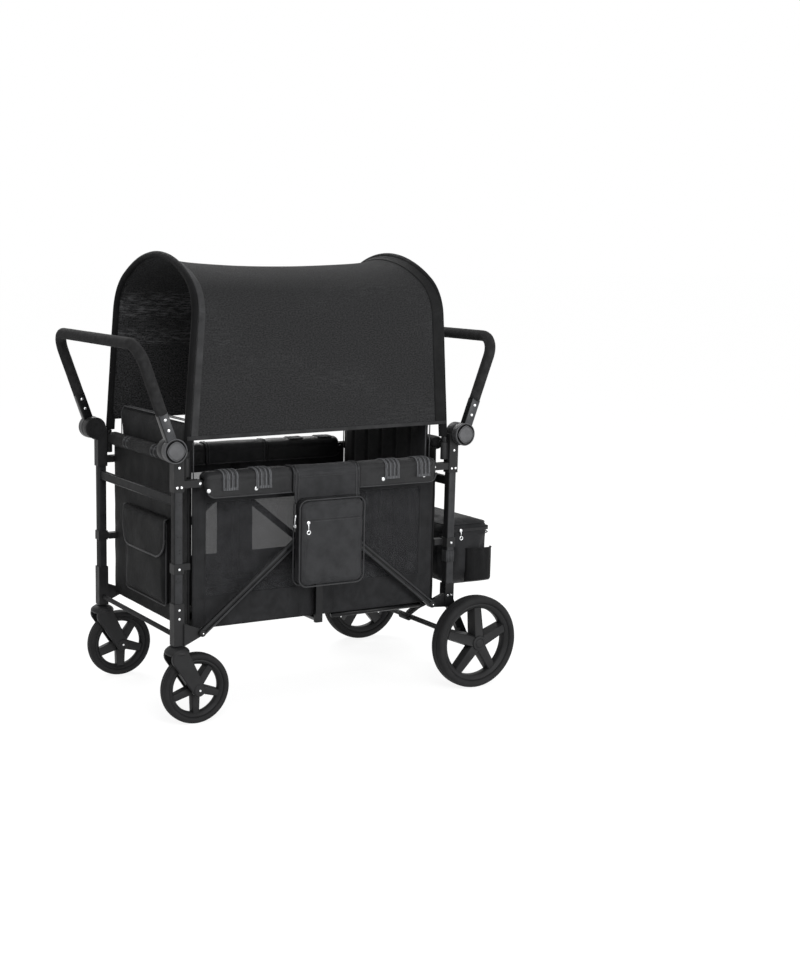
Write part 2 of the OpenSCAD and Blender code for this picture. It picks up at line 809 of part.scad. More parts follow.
// Half outline of the arch in its own plane, from the lower edge to the top, lifted by off
function arch_half(off) = concat(
  [for (i = [0:cloth_leg_steps - 1])
    [arch_w + off, edge_rise + (arch_spring - edge_rise) * i / cloth_leg_steps]],
  [for (i = [0:cloth_corner_steps - 1]) let (a = arch_turn * i / cloth_corner_steps)
    [arch_side + (hoop_corner_r + off) * cos(a), arch_spring + (hoop_corner_r + off) * sin(a)]],
  [for (i = [0:cloth_top_steps]) let (a = arch_turn + (90 - arch_turn) * i / cloth_top_steps)
    [(arch_top_r + off) * cos(a), arch_spring - arch_drop + (arch_top_r + off) * sin(a)]]
);

function arch_outline(off) = let (half = arch_half(off), n = len(half))
  concat(half, [for (i = [n - 2:-1:0]) [-half[i][0], half[i][1]]]);

// Point of the cloth over point p of the arch, in column i from the front edge to the rear one.
// The two edge columns are the flat hems over the hoops; the cloth sags between them.
function cloth_point(p, i) =
  let (
    reach = hoop_x - p[1] * sin(hoop_lean) + cloth_over,
    rise = hoop_bend_z + p[1] * lean_cos,
    along = 2 * (i - 1) / (cloth_columns - 2) - 1,
    inside = 1 - pow(max(-1, min(1, along)), 4),
    height_share = (rise - canopy_edge_z) / (hoop_top_z - canopy_edge_z),
    x = i == 0 ? -reach : i == cloth_columns ? reach : along * (reach - cloth_hem)
  ) [x, p[0], rise - canopy_sag * inside * pow(height_share, 3)];

module canopy_sheet() {
  inner_off = hoop_r + cloth_lift;
  outer = arch_outline(inner_off + canopy_t);
  inner = arch_outline(inner_off);
  points = [for (outline = [outer, inner], i = [0:cloth_columns], p = outline) cloth_point(p, i)];
  polyhedron(points, skin_faces(cloth_columns, len(outer) - 1));
}

// Handles: the local frame has the pivot at the origin and the arms along +Z

module handle_frame() {
  translate([hub_x, 0, hub_z]) rotate([0, handle_tilt, 0]) children();
}

module bent_tube(d, bore, start) {
  straight = arm_len - arm_bend_r;
  half = arm_y - arm_bend_r;
  both_sides() {
    translate([0, arm_y, start]) difference() {
      cylinder(d = d, h = straight - start);
      translate([0, 0, -overrun]) cylinder(d = bore, h = straight - start + 2 * overrun);
    }
    translate([0, half, straight]) rotate([90, 0, 90]) rotate_extrude(angle = 90)
      translate([arm_bend_r, 0]) difference() {
        circle(d = d);
        circle(d = bore);
      }
  }
  translate([0, 0, arm_len]) difference() {
    along_y(d, -half, half);
    along_y(bore, -half - overrun, half + overrun);
  }
}

module handle_bar() {
  handle_frame() bent_tube(arm_d, arm_d - 2 * tube_wall, arm_start);
}

module grip() {
  handle_frame() bent_tube(grip_d, arm_d + 2 * fit, grip_start);
}

// Turning half of a hub with its arm socket, pivot bore and button seat
module handle_hub() {
  neck_d = arm_d + 2 * sleeve_wall;
  handle_frame() difference() {
    union() {
      along_y(hub_d, hub_y, hub_y + hub_t);
      intersection() {
        translate([0, arm_y, 0]) cylinder(d = neck_d, h = hub_d / 2 + arm_socket);
        span_box([-hub_d, hub_y, 0], [hub_d, hub_y + hub_t, hub_d]);
      }
    }
    along_y(hub_pin_d + 2 * run, 0, hub_y + hub_pin_len + gap);
    along_y(button_d + 2 * run, hub_y + hub_t - button_seat, hub_y + hub_t + overrun);
    translate([0, arm_y, arm_start - fit]) cylinder(d = arm_d + 2 * fit, h = hub_d);
  }
}

module button() {
  outer = hub_y + hub_t + button_proud;
  handle_frame() {
    along_y(button_d, outer - button_t, outer - button_proud / 2);
    along_y(button_d * button_cap_share, outer - button_t, outer);
  }
}

// Wheels, with the axle along Y and the outer side towards +Y

module wheel_ring(outer_r, inner_r, w) {
  rotate([-90, 0, 0]) rotate_extrude() translate([inner_r, -w / 2]) square([outer_r - inner_r, w]);
}

module tyre(r, h, w) {
  inner = r - h + fit;
  rotate([-90, 0, 0]) rotate_extrude() {
    translate([inner, -w / 2]) square([r - tyre_edge - inner, w]);
    translate([inner, -w / 2 + tyre_edge]) square([r - inner, w - 2 * tyre_edge]);
    for (s = [-1, 1]) translate([r - tyre_edge, s * (w / 2 - tyre_edge)]) circle(tyre_edge);
  }
}

// Tapered spoke from the hub to the ring, its middle plane running from hub_mid to the wheel's middle
module spoke(hub_r, ring_r, root, tip, hub_mid) {
  hull() {
    translate([-root / 2, hub_mid - spoke_t / 2, hub_r - spoke_sink]) cube([root, spoke_t, spoke_sink]);
    translate([-tip / 2, -spoke_t / 2, ring_r]) cube([tip, spoke_t, spoke_sink]);
  }
}

module rear_rim() {
  ring_r = rear_wheel_r - rear_tyre_h - rear_rim_h;
  hub_mid = rear_hub_out - spoke_t;
  difference() {
    union() {
      wheel_ring(rear_wheel_r - rear_tyre_h, ring_r, rear_wheel_w - 2 * tyre_edge);
      along_y(rear_hub_d, -rear_hub_in, rear_hub_out);
      for (k = [0:spoke_count - 1]) rotate([0, k * 360 / spoke_count, 0])
        spoke(rear_hub_d / 2, ring_r, rear_spoke_root, rear_spoke_tip, hub_mid);
    }
    along_y(axle_d + 2 * run, -rear_hub_in - overrun, rear_hub_out - hub_cap_t);
  }
}

module front_rim() {
  ring_r = front_wheel_r - front_tyre_h - front_rim_h;
  difference() {
    union() {
      wheel_ring(front_wheel_r - front_tyre_h, ring_r, front_wheel_w - tyre_edge);
      along_y(front_hub_d, -front_wheel_w / 2, front_wheel_w / 2);
      for (k = [0:spoke_count - 1]) rotate([0, k * 360 / spoke_count, 0])
        spoke(front_hub_d / 2, ring_r, front_spoke_root, front_spoke_tip, 0);
    }
    along_y(bolt_d + 2 * run, -front_wheel_w, front_wheel_w);
  }
}

module at_rear_wheel(side) {
  translate([axle_x, side * rear_wheel_y, rear_wheel_r]) mirror([0, side < 0 ? 1 : 0, 0]) children();
}

module at_front_wheel(side) {
  translate([caster_trail - post_x, side * post_y, front_wheel_r])
    mirror([0, side < 0 ? 1 : 0, 0]) children();
}

// Caster fork with its stem, and the bolt through its arms
module caster_fork() {
  arm_out = fork_arm_in + fork_arm_t;
  root_z = crown_z - front_wheel_r;
  difference() {
    union() {
      translate([-caster_trail, 0, root_z]) {
        cylinder(r = crown_r, h = crown_h);
        cylinder(d = stem_d, h = crown_h + stem_len);
      }
      both_sides() hull() {
        along_y(2 * fork_boss_r, fork_arm_in, arm_out, $fn = 32);
        span_box([-caster_trail - fork_root_half, fork_arm_in, root_z],
                 [-caster_trail + fork_root_half, arm_out, root_z + crown_h / 2]);
      }
    }
    along_y(bolt_d + 2 * fit, -arm_out - overrun, arm_out + overrun);
  }
  along_y(bolt_d, -arm_out, arm_out);
  both_sides() along_y(bolt_head_d, arm_out, arm_out + bolt_head_t);
}

// Nodes at the fixed-wheel end

module rear_posts() { color(satin_black) placed() both_sides() post(rear_post_z); }

module rear_upper_brackets() { color(plastic_black) placed() both_sides() upper_bracket(); }

module rear_legs() { color(satin_black) placed() both_sides() rear_leg(); }

module rear_cross_tubes() { color(satin_black) placed() end_tubes(bar_b_y + bar_t + gap); }

module rear_axle() {
  color(satin_black) placed() translate([axle_x, 0, rear_wheel_r]) along_y(axle_d, -axle_end_y, axle_end_y);
}

module rear_collars() { color(plastic_black) placed() both_sides() collar(); }

module rear_panel() { color(cloth_black) placed() end_panel(); }

module rear_seat_back() { color(cloth_black) placed() seat_back(); }

module rear_bag() {
  color(cloth_black) placed() {
    translate([bag_x + bag_depth / 2, 0, bag_bottom_z]) linear_extrude(bag_h - bag_lid_t)
      rounded_rect(bag_depth - 2 * bag_lid_over, bag_w - 2 * bag_lid_over, bag_corner_r);
    translate([bag_x + bag_depth / 2, 0, bag_bottom_z + bag_h - bag_lid_t]) linear_extrude(bag_lid_t)
      rounded_rect(bag_depth, bag_w, bag_corner_r);
    both_sides() bag_strap();
    both_sides() cup_holder();
  }
}

// Strap from the bag round a post
module bag_strap() {
  out_w = post_w + 2 * (fit + bag_strap_t);
  translate([0, 0, bag_strap_z]) {
    difference() {
      translate([post_x - out_w / 2, post_y - out_w / 2, 0]) cube([out_w, out_w, bag_strap_h]);
      translate([post_x - bore_w / 2, post_y - bore_w / 2, -overrun])
        cube([bore_w, bore_w, bag_strap_h + 2 * overrun]);
    }
    span_box([post_x + out_w / 2 - bag_strap_t, bag_w / 2 - bag_corner_r, 0],
             [bag_x + bag_corner_r, bag_w / 2 - bag_lid_over, bag_strap_h]);
    span_box([post_x + out_w / 2 - bag_strap_t, bag_w / 2 - bag_lid_over - bag_corner_r, 0],
             [post_x + out_w / 2, post_y, bag_strap_h]);
  }
}

module cup_holder() {
  translate([bag_x + bag_depth / 2, bag_w / 2 - bag_lid_over - cup_low, bag_bottom_z + cup_low])
    linear_extrude(cup_h) translate([0, cup_depth / 2])
      rounded_rect(cup_w, cup_depth + cup_low, cup_depth / 2);
}

module rear_fasteners() {
  color(bright_steel) placed() both_sides() {
    upper_rivets();
    for (s = [-1, 1]) rivet(s * rivet_pair / 2, (rear_sleeve_z + rear_sleeve_top_z) / 2);
    rail_pin();
    rod_nut(bar_b_y + bar_t);
  }
}

module rear_walls() { color(cloth_grey) placed() both_sides() half_wall(); }

module brake_pedal() {
  color(plastic_black) placed() translate([brake_x, 0, brake_z]) {
    along_y(brake_bar_d, -brake_end_y, brake_end_y);
    along_y(pedal_boss_d, -pedal_w / 2, pedal_w / 2);
    rotate([0, -pedal_angle, 0]) {
      span_box([0, -pedal_arm_w / 2, -pedal_t / 2], [pedal_len, pedal_arm_w / 2, pedal_t / 2]);
      translate([pedal_len * (1 - pedal_pad_share / 2), 0, -pedal_t / 2]) linear_extrude(pedal_t)
        rounded_rect(pedal_len * pedal_pad_share, pedal_w, pedal_w / 3);
    }
    both_sides() brake_dog();
  }
}

// Short arm at the end of the brake bar that reaches for the wheel's spokes
module brake_dog() {
  y0 = brake_end_y - dog_t;
  along_y(dog_d, y0, brake_end_y);
  span_box([-dog_d / 4, y0, 0], [dog_d / 4, brake_end_y, dog_len]);
}

// Nodes at the caster end

module front_posts() { color(satin_black) placed() front_end() both_sides() post(front_post_z); }

module front_upper_brackets() { color(plastic_black) placed() front_end() both_sides() upper_bracket(); }

module front_lower_brackets() {
  color(plastic_black) placed() front_end() both_sides() front_lower_bracket();
}

module front_cross_tubes() {
  color(satin_black) placed() front_end() {
    end_tubes(bar_out_y + gap);
    low_tube();
  }
}

module front_collars() { color(plastic_black) placed() front_end() both_sides() collar(); }

module front_panel() { color(cloth_black) placed() front_end() end_panel(); }

module front_pocket() {
  z_mid = front_pocket_z + front_pocket_h / 2;
  color(cloth_black) placed() front_end() translate([panel_x + gap, 0, 0]) {
    translate([0, 0, z_mid]) rotate([90, 0, 90]) linear_extrude(front_pocket_depth)
      rounded_rect(front_pocket_w, front_pocket_h, pocket_corner_r);
    translate([front_pocket_depth, 0, front_pocket_z + front_pocket_h - front_flap_h / 2])
      rotate([90, 0, 90]) linear_extrude(front_flap_t)
        rounded_rect(front_pocket_w, front_flap_h, pocket_corner_r);
  }
}

module front_seat_back() { color(cloth_black) placed() front_end() seat_back(); }

module front_fasteners() {
  color(bright_steel) placed() front_end() both_sides() {
    upper_rivets();
    for (share = low_rivet_shares)
      rivet(0, front_sleeve_z + share * (front_sleeve_top_z - front_sleeve_z));
    rail_pin();
    rod_nut(bar_out_y);
  }
}

module front_walls() { color(cloth_grey) placed() front_end() both_sides() half_wall(); }

// Nodes of the folding sides and the floor

module scissor_bars_a() { color(satin_black) placed() front_end() both_sides() scissor_bar(bar_a_y); }

module scissor_bars_b() { color(satin_black) placed() both_sides() scissor_bar(bar_b_y); }

module scissor_pins() { color(bright_steel) placed() both_sides() cross_pin(); }

module center_frame() {
  color(satin_black) placed() {
    both_sides() strut();
    translate([0, 0, strut_tube_z]) along_y(strut_tube_d, -post_y, post_y);
  }
}

module center_floor_plate() {
  color(plastic_black) placed()
    span_box([-plate_half_x, -board_half_y, floor_z], [plate_half_x, board_half_y, floor_z + board_t]);
}

module center_straps() {
  color(cloth_black) placed() both_sides() rail_cover(-cover_mid_x + gap, cover_mid_x - gap);
}

// Pocket hung outside the left rail by a flap
module side_pocket() {
  color(cloth_black) placed() mirror([0, 1, 0]) {
    translate([0, pocket_y, pocket_top_z - pocket_h / 2]) rotate([90, 0, 180]) linear_extrude(pocket_depth)
      rounded_rect(pocket_w, pocket_h, pocket_corner_r);
    span_box([-pocket_w / 2, pocket_y, pocket_top_z - pocket_corner_r],
             [pocket_w / 2, pocket_y + pocket_flap_t, pocket_flap_top_z]);
  }
}

module front_rails() { color(satin_black) placed() front_end() both_sides() rail(); }

module front_rail_covers() {
  color(cloth_black) placed() front_end() both_sides() rail_cover(cover_mid_x, cover_end_x);
}

module rear_rails() { color(satin_black) placed() both_sides() rail(); }

module rear_rail_covers() {
  color(cloth_black) placed() both_sides() rail_cover(cover_mid_x, cover_end_x);
}

module front_floor_board() { color(plastic_black) placed() front_end() floor_board(); }

module rear_floor_board() { color(plastic_black) placed() floor_board(); }

module front_seat_pad() { color(cloth_grey) placed() front_end() seat_pad(); }

module rear_seat_pad() { color(cloth_grey) placed() seat_pad(); }

// Nodes of the canopy

module front_hoop() { color(satin_black) placed() front_end() hoop(); }

module rear_hoop() { color(satin_black) placed() hoop(); }

module canopy_cover() { color(cloth_grey) placed() canopy_sheet(); }

// Nodes of the handles

module front_handle_bar() { color(satin_black) placed() front_end() handle_bar(); }

module front_handle_hubs() { color(plastic_black) placed() front_end() both_sides() handle_hub(); }

module front_grip() { color(foam_black) placed() front_end() grip(); }

module rear_handle_bar() { color(satin_black) placed() handle_bar(); }

module rear_handle_hubs() { color(plastic_black) placed() both_sides() handle_hub(); }

module rear_grip() { color(foam_black) placed() grip(); }

module front_left_button() { color(plastic_black) placed() front_end() mirror([0, 1, 0]) button(); }

module front_right_button() { color(plastic_black) placed() front_end() button(); }

module rear_left_button() { color(plastic_black) placed() mirror([0, 1, 0]) button(); }

module rear_right_button() { color(plastic_black) placed() button(); }

// Nodes of the wheels; left is -Y

module caster_fork_left() { color(plastic_black) placed() at_front_wheel(-1) caster_fork(); }

module caster_fork_right() { color(plastic_black) placed() at_front_wheel(1) caster_fork(); }

module front_rim_left() { color(plastic_black) placed() at_front_wheel(-1) front_rim(); }

module front_rim_right() { color(plastic_black) placed() at_front_wheel(1) front_rim(); }

module front_tyre_left() {
  color(rubber_black) placed() at_front_wheel(-1) tyre(front_wheel_r, front_tyre_h, front_wheel_w);
}

module front_tyre_right() {
  color(rubber_black) placed() at_front_wheel(1) tyre(front_wheel_r, front_tyre_h, front_wheel_w);
}

module rear_rim_left() { color(plastic_black) placed() at_rear_wheel(-1) rear_rim(); }

module rear_rim_right() { color(plastic_black) placed() at_rear_wheel(1) rear_rim(); }

module rear_tyre_left() {
  color(rubber_black) placed() at_rear_wheel(-1) tyre(rear_wheel_r, rear_tyre_h, rear_wheel_w);
}

module rear_tyre_right() {
  color(rubber_black) placed() at_rear_wheel(1) tyre(rear_wheel_r, rear_tyre_h, rear_wheel_w);
}

rear_posts();
rear_upper_brackets();
rear_legs();
rear_cross_tubes();
rear_axle();
rear_collars();
rear_panel();
rear_seat_back();
rear_bag();
rear_fasteners();
rear_walls();
front_posts();
front_upper_brackets();
front_lower_brackets();
front_cross_tubes();
front_collars();
front_panel();
front_pocket();
front_seat_back();
front_fasteners();
front_walls();
scissor_bars_a();
scissor_bars_b();
scissor_pins();
center_frame();
center_floor_plate();
side_pocket();
center_straps();
front_rails();
front_rail_covers();
rear_rails();
rear_rail_covers();
front_floor_board();
rear_floor_board();
front_seat_pad();
rear_seat_pad();
front_hoop();
rear_hoop();
canopy_cover();
front_handle_bar();
front_handle_hubs();
front_grip();
rear_handle_bar();
rear_handle_hubs();
rear_grip();
front_left_button();
front_right_button();
rear_left_button();
rear_right_button();
caster_fork_left();
caster_fork_right();
front_rim_left();
front_rim_right();
front_tyre_left();
front_tyre_right();
rear_rim_left();
rear_rim_right();
rear_tyre_left();
rear_tyre_right();
brake_pedal();
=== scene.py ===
"""Looks of a folding stroller wagon: cloth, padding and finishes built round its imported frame."""

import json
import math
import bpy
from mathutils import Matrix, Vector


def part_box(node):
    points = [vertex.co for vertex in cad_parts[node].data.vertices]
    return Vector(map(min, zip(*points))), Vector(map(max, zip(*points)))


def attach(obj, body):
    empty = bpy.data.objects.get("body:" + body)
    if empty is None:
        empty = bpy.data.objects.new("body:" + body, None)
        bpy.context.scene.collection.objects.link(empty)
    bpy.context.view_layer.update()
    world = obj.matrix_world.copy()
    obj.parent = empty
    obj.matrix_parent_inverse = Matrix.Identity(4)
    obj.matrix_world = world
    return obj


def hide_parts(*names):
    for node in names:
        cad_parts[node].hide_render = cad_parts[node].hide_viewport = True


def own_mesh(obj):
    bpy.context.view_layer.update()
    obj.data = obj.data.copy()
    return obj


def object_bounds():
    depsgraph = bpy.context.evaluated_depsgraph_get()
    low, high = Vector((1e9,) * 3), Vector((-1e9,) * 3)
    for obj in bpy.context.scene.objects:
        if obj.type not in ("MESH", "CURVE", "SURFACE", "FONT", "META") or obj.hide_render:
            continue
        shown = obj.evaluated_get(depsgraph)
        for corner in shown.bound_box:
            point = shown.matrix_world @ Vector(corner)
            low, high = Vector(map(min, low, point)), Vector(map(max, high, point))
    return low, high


bl_info = {
    "name": "Stroller wagon looks",
    "version": (1, 0, 0),
    "blender": (4, 5, 0),
    "location": "View3D > Sidebar > Wagon",
    "description": "Dresses the frame of a folding stroller wagon in cloth, padding and finishes",
    "category": "Object",
}

import bmesh
import bpy
from bpy.props import FloatProperty, FloatVectorProperty, PointerProperty
from mathutils import Matrix, Vector, noise

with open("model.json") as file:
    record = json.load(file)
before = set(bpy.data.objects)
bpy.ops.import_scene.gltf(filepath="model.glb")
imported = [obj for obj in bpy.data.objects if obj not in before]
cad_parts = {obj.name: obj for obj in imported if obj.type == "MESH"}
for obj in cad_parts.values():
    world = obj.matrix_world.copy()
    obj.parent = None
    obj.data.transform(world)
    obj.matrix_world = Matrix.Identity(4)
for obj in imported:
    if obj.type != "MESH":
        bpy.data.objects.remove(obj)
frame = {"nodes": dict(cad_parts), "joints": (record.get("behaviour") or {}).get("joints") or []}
CAD_LOW, CAD_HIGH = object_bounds()

# Places that the frame gives, in metres
FRONT_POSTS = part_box("front_posts")
REAR_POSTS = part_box("rear_posts")
POST_W = REAR_POSTS[1].x - REAR_POSTS[0].x
MID_X = (FRONT_POSTS[0].x + REAR_POSTS[1].x) / 2
POST_X = REAR_POSTS[1].x - MID_X - POST_W / 2
POST_Y = REAR_POSTS[1].y - POST_W / 2
ENDS = {"front": -1, "rear": 1}
SIDES = {"left": -1, "right": 1}
JOINTS = {joint["name"]: joint for joint in frame["joints"]}
FINISH_NAME = "wagon_{}"
INNER_DRUM_Y = 0.2555


# Sizes and colours that a user may change


class WagonSizes(bpy.types.PropertyGroup):
    """Sizes of the cloth and trim, in metres"""

    piping_d: FloatProperty(
        name="Piping", description="Diameter of the sewn piping", default=0.0042, unit="LENGTH")
    cloth_t: FloatProperty(
        name="Cloth", description="Thickness of the tub's cloth", default=0.0024, unit="LENGTH")
    canopy_t: FloatProperty(
        name="Canopy cloth", description="Thickness of the canopy's cloth", default=0.0016, unit="LENGTH")
    sleeve_w: FloatProperty(
        name="Hoop sleeve", description="Width of the cloth sleeves over the hoops", default=0.019,
        unit="LENGTH")
    weave: FloatProperty(
        name="Weave", description="Pitch of the tub cloth's weave", default=0.0016, unit="LENGTH")
    net: FloatProperty(
        name="Net", description="Pitch of the holes in the window net", default=0.0013, unit="LENGTH")
    webbing_w: FloatProperty(
        name="Webbing", description="Width of the webbing loops", default=0.048, unit="LENGTH")
    post_corner_r: FloatProperty(
        name="Post corners", description="Corner radius of the post tubes", default=0.0035, unit="LENGTH")
    edge_r: FloatProperty(
        name="Moulded edges", description="Edge radius of the moulded pieces", default=0.0012, unit="LENGTH")


def colour(label, value):
    """A colour property with its default, in linear light."""
    return FloatVectorProperty(name=label, description=f"Colour of the {label.lower()}", subtype="COLOR",
                               size=3, min=0, max=1, default=value)


class WagonColours(bpy.types.PropertyGroup):
    """Base colours of the finishes"""

    frame: colour("Painted tubes", (0.0065, 0.0067, 0.0072))
    plastic: colour("Moulded plastic", (0.0148, 0.0149, 0.0155))
    tub: colour("Tub cloth", (0.0062, 0.0063, 0.0067))
    canopy: colour("Canopy cloth", (0.024, 0.0242, 0.025))
    webbing: colour("Webbing", (0.085, 0.087, 0.092))
    tyre: colour("Tyres", (0.0150, 0.0150, 0.0155))
    foam: colour("Foam grips", (0.0185, 0.0185, 0.0190))
    metal: colour("Bright metal", (0.78, 0.79, 0.80))


def sizes():
    return bpy.context.scene.wagon_sizes


def colours():
    return bpy.context.scene.wagon_colours


def at(x, y, z):
    """A point of the frame, with x measured from midway between the posts."""
    return Vector((MID_X + x, y, z))


# Materials


def add_node(tree, kind, links=(), **values):
    """A new node with its properties and unlinked inputs set, and its linked inputs wired."""
    node = tree.nodes.new(kind)
    for key, value in values.items():
        if key in node.bl_rna.properties:
            setattr(node, key, value)
        else:
            node.inputs[key.replace("_", " ")].default_value = value
    for name, socket in dict(links).items():
        tree.links.new(socket, node.inputs[name])
    return node


def start_material(name, base, roughness, specular=0.5, metallic=0.0, sheen=0.0):
    """A new finish with its plain values; returns its node tree and its shader."""
    material = bpy.data.materials.new(FINISH_NAME.format(name))
    material.use_nodes = True
    tree = material.node_tree
    shader = tree.nodes["Principled BSDF"]
    shader.inputs["Base Color"].default_value = (*base, 1)
    shader.inputs["Roughness"].default_value = roughness
    shader.inputs["Metallic"].default_value = metallic
    shader.inputs["Specular IOR Level"].default_value = specular
    shader.inputs["Sheen Weight"].default_value = sheen
    shader.inputs["Sheen Roughness"].default_value = 0.5
    return tree, shader


def coordinates(tree, kind="Object", stretch=(1, 1, 1)):
    """Surface coordinates, stretched along the axes."""
    source = add_node(tree, "ShaderNodeTexCoord").outputs[kind]
    return add_node(tree, "ShaderNodeMapping", {"Vector": source}, Scale=stretch).outputs["Vector"]


def grain(tree, where, scale, detail=3.0, roughness=0.55):
    """Noise from 0 to 1."""
    return add_node(tree, "ShaderNodeTexNoise", {"Vector": where}, Scale=scale, Detail=detail,
                    Roughness=roughness).outputs["Fac"]


def ramp(tree, factor, stops):
    """Colours or greys spread over a factor; stops are (position, colour)."""
    node = add_node(tree, "ShaderNodeValToRGB", {"Fac": factor})
    elements = node.color_ramp.elements
    while len(elements) < len(stops):
        elements.new(0.5)
    for element, (position, value) in zip(elements, stops):
        element.position = position
        element.color = (*value, 1) if hasattr(value, "__len__") else (value, value, value, 1)
    return node.outputs["Color"]


def shade(base, share):
    """A colour made darker or lighter by a share."""
    return tuple(share * c for c in base)


def tint(tree, shader, factor, base, low, high, start=0.3, end=0.7):
    """Colours the shader between two shares of its base."""
    socket = ramp(tree, factor, [(start, shade(base, low)), (end, shade(base, high))])
    tree.links.new(socket, shader.inputs["Base Color"])


def roughen(tree, shader, factor, low, high):
    """Varies the shader's roughness between two values."""
    tree.links.new(ramp(tree, factor, [(0.3, low), (0.7, high)]), shader.inputs["Roughness"])


def bump(tree, shader, heights):
    """Bumps of the given (height socket, distance in metres), one over another."""
    normal = None
    for height, distance in heights:
        links = {"Height": height}
        if normal is not None:
            links["Normal"] = normal
        normal = add_node(tree, "ShaderNodeBump", links, Distance=distance).outputs["Normal"]
    tree.links.new(normal, shader.inputs["Normal"])


def stripes(tree, where, axis, pitch):
    """Rounded stripes across an axis, from 0 to 1."""
    return add_node(tree, "ShaderNodeTexWave", {"Vector": where}, wave_type="BANDS",
                    bands_direction=axis, Scale=math.pi / 10 / pitch).outputs["Fac"]


def combine(tree, operation, first, second):
    """Two sockets, or a socket and a number, through one math node."""
    node = add_node(tree, "ShaderNodeMath", operation=operation)
    for socket, value in zip(node.inputs, (first, second)):
        if isinstance(value, (int, float)):
            socket.default_value = value
        else:
            tree.links.new(value, socket)
    return node.outputs["Value"]


def weave_height(tree, where, pitch):
    """Threads over and under along all three axes."""
    threads = [stripes(tree, where, axis, pitch) for axis in "XYZ"]
    return combine(tree, "ADD", combine(tree, "ADD", threads[0], threads[1]), threads[2])


def cloth_finish(name, base, roughness, pitch, wrinkle, specular=0.09, sheen=0.02):
    """Plain woven cloth with soft wrinkles and worn, uneven dye."""
    tree, shader = start_material(name, base, roughness, specular=specular, sheen=sheen)
    where = coordinates(tree)
    weave = weave_height(tree, where, pitch)
    creases = grain(tree, where, 9, detail=4)
    patches = combine(tree, "ADD", combine(tree, "MULTIPLY", weave, 0.14), grain(tree, where, 28, detail=5))
    tint(tree, shader, patches, base, 0.72, 1.35, start=0.45, end=0.95)
    roughen(tree, shader, creases, roughness - 0.1, roughness + 0.08)
    bump(tree, shader, [(creases, wrinkle), (weave, pitch * 0.12)])


def painted_light_bands(tree):
    """Painted light on the inside of the shade cloth, by height: two bands on the sides where light comes
    through the cloth.
    """
    height = add_node(tree, "ShaderNodeSeparateXYZ", {"Vector": coordinates(tree)}).outputs["Z"]
    share = combine(tree, "DIVIDE", height, 2.0)
    return ramp(tree, share, [(0.44, 0.10), (0.502, 0.12), (0.508, 0.75), (0.522, 0.75), (0.528, 0.25),
                              (0.542, 0.30), (0.55, 1.0), (0.573, 0.9), (0.585, 0.15)])


def canopy_finish(name, base, light, slub_and_light_share, with_painted_light=False):
    """Knitted shade cloth on the canopy's own map, with slubs along the wagon; with painted light, bright
    streaks follow bands of painted light instead of slub patches.
    """
    tree, shader = start_material(name, base, 0.9, specular=0.06, sheen=0.02)
    where = coordinates(tree, "UV")
    across = stripes(tree, where, "X", 0.0019)
    along = stripes(tree, where, "Y", 0.0019)
    streaks = grain(tree, coordinates(tree, "UV", (26, 170, 1)), 1.0, detail=6, roughness=0.7)
    patches = grain(tree, coordinates(tree, "UV", (2.2, 5.5, 1)), 1.0, detail=2)
    # With painted light, the streaks follow bands of painted light by height; otherwise random slub patches.
    spread = painted_light_bands(tree) if with_painted_light else ramp(tree, patches, [(0.45, 0.0), (0.68, 1.0)])
    slubs_and_light_streaks = combine(tree, "MULTIPLY", ramp(tree, streaks, [(0.46, 0.0), (0.64, 1.0)]), spread)
    threads = ramp(tree, grain(tree, coordinates(tree, "UV", (190, 330, 1)), 1.0, detail=3),
                   [(0.36, 0.0), (0.64, 1.0)])
    mix = combine(tree, "ADD", combine(tree, "MULTIPLY", threads, 0.4),
                  combine(tree, "MULTIPLY", slubs_and_light_streaks, slub_and_light_share))
    tint(tree, shader, mix, base, 0.62, light, start=0.0, end=1.0)
    heights = combine(tree, "ADD", across, along)
    bump(tree, shader, [(patches, 0.004), (heights, 0.00025)])


def net_finish(name, base, pitch):
    """Knitted window net: round holes in rows, seen through as small gaps."""
    tree, shader = start_material(name, base, 0.8, specular=0.08)
    where = coordinates(tree)
    rows = combine(tree, "MULTIPLY", stripes(tree, where, "X", pitch), stripes(tree, where, "Z", pitch))
    threads = ramp(tree, rows, [(0.0, 0.86), (0.5, 0.64)])
    tree.links.new(threads, shader.inputs["Alpha"])
    tint(tree, shader, grain(tree, where, 40), base, 0.8, 1.3)
    bump(tree, shader, [(rows, pitch * 0.2)])


def webbing_finish(name, base):
    """Ribbed webbing, with its ribs across the band; its colour is lighter on the ribs and darker between
    them, a painted highlight and painted shade.
    """
    tree, shader = start_material(name, base, 0.7, specular=0.15, sheen=0.02)
    where = coordinates(tree)
    ribs = stripes(tree, where, "X", 0.0052)
    fuzz = grain(tree, where, 420, detail=2)
    mix = combine(tree, "ADD", combine(tree, "MULTIPLY", ribs, 0.6), combine(tree, "MULTIPLY", fuzz, 0.5))
    # The rib stripes in the colour are painted highlight and painted shade; the fuzz is random tone.
    tint(tree, shader, mix, base, 0.35, 1.5, start=0.25, end=0.85)
    bump(tree, shader, [(ribs, 0.0008), (fuzz, 0.0003)])


def painted_finish(name, base, roughness=0.30):
    """Satin powder coat with a fine orange peel and rubbed patches."""
    tree, shader = start_material(name, base, roughness, specular=0.2)
    where = coordinates(tree)
    peel = grain(tree, where, 900, detail=2)
    rubbed = grain(tree, where, 35, detail=6, roughness=0.65)
    tint(tree, shader, rubbed, base, 0.85, 1.4, start=0.4, end=0.8)
    roughen(tree, shader, rubbed, roughness - 0.06, roughness + 0.10)
    bump(tree, shader, [(peel, 0.00006)])


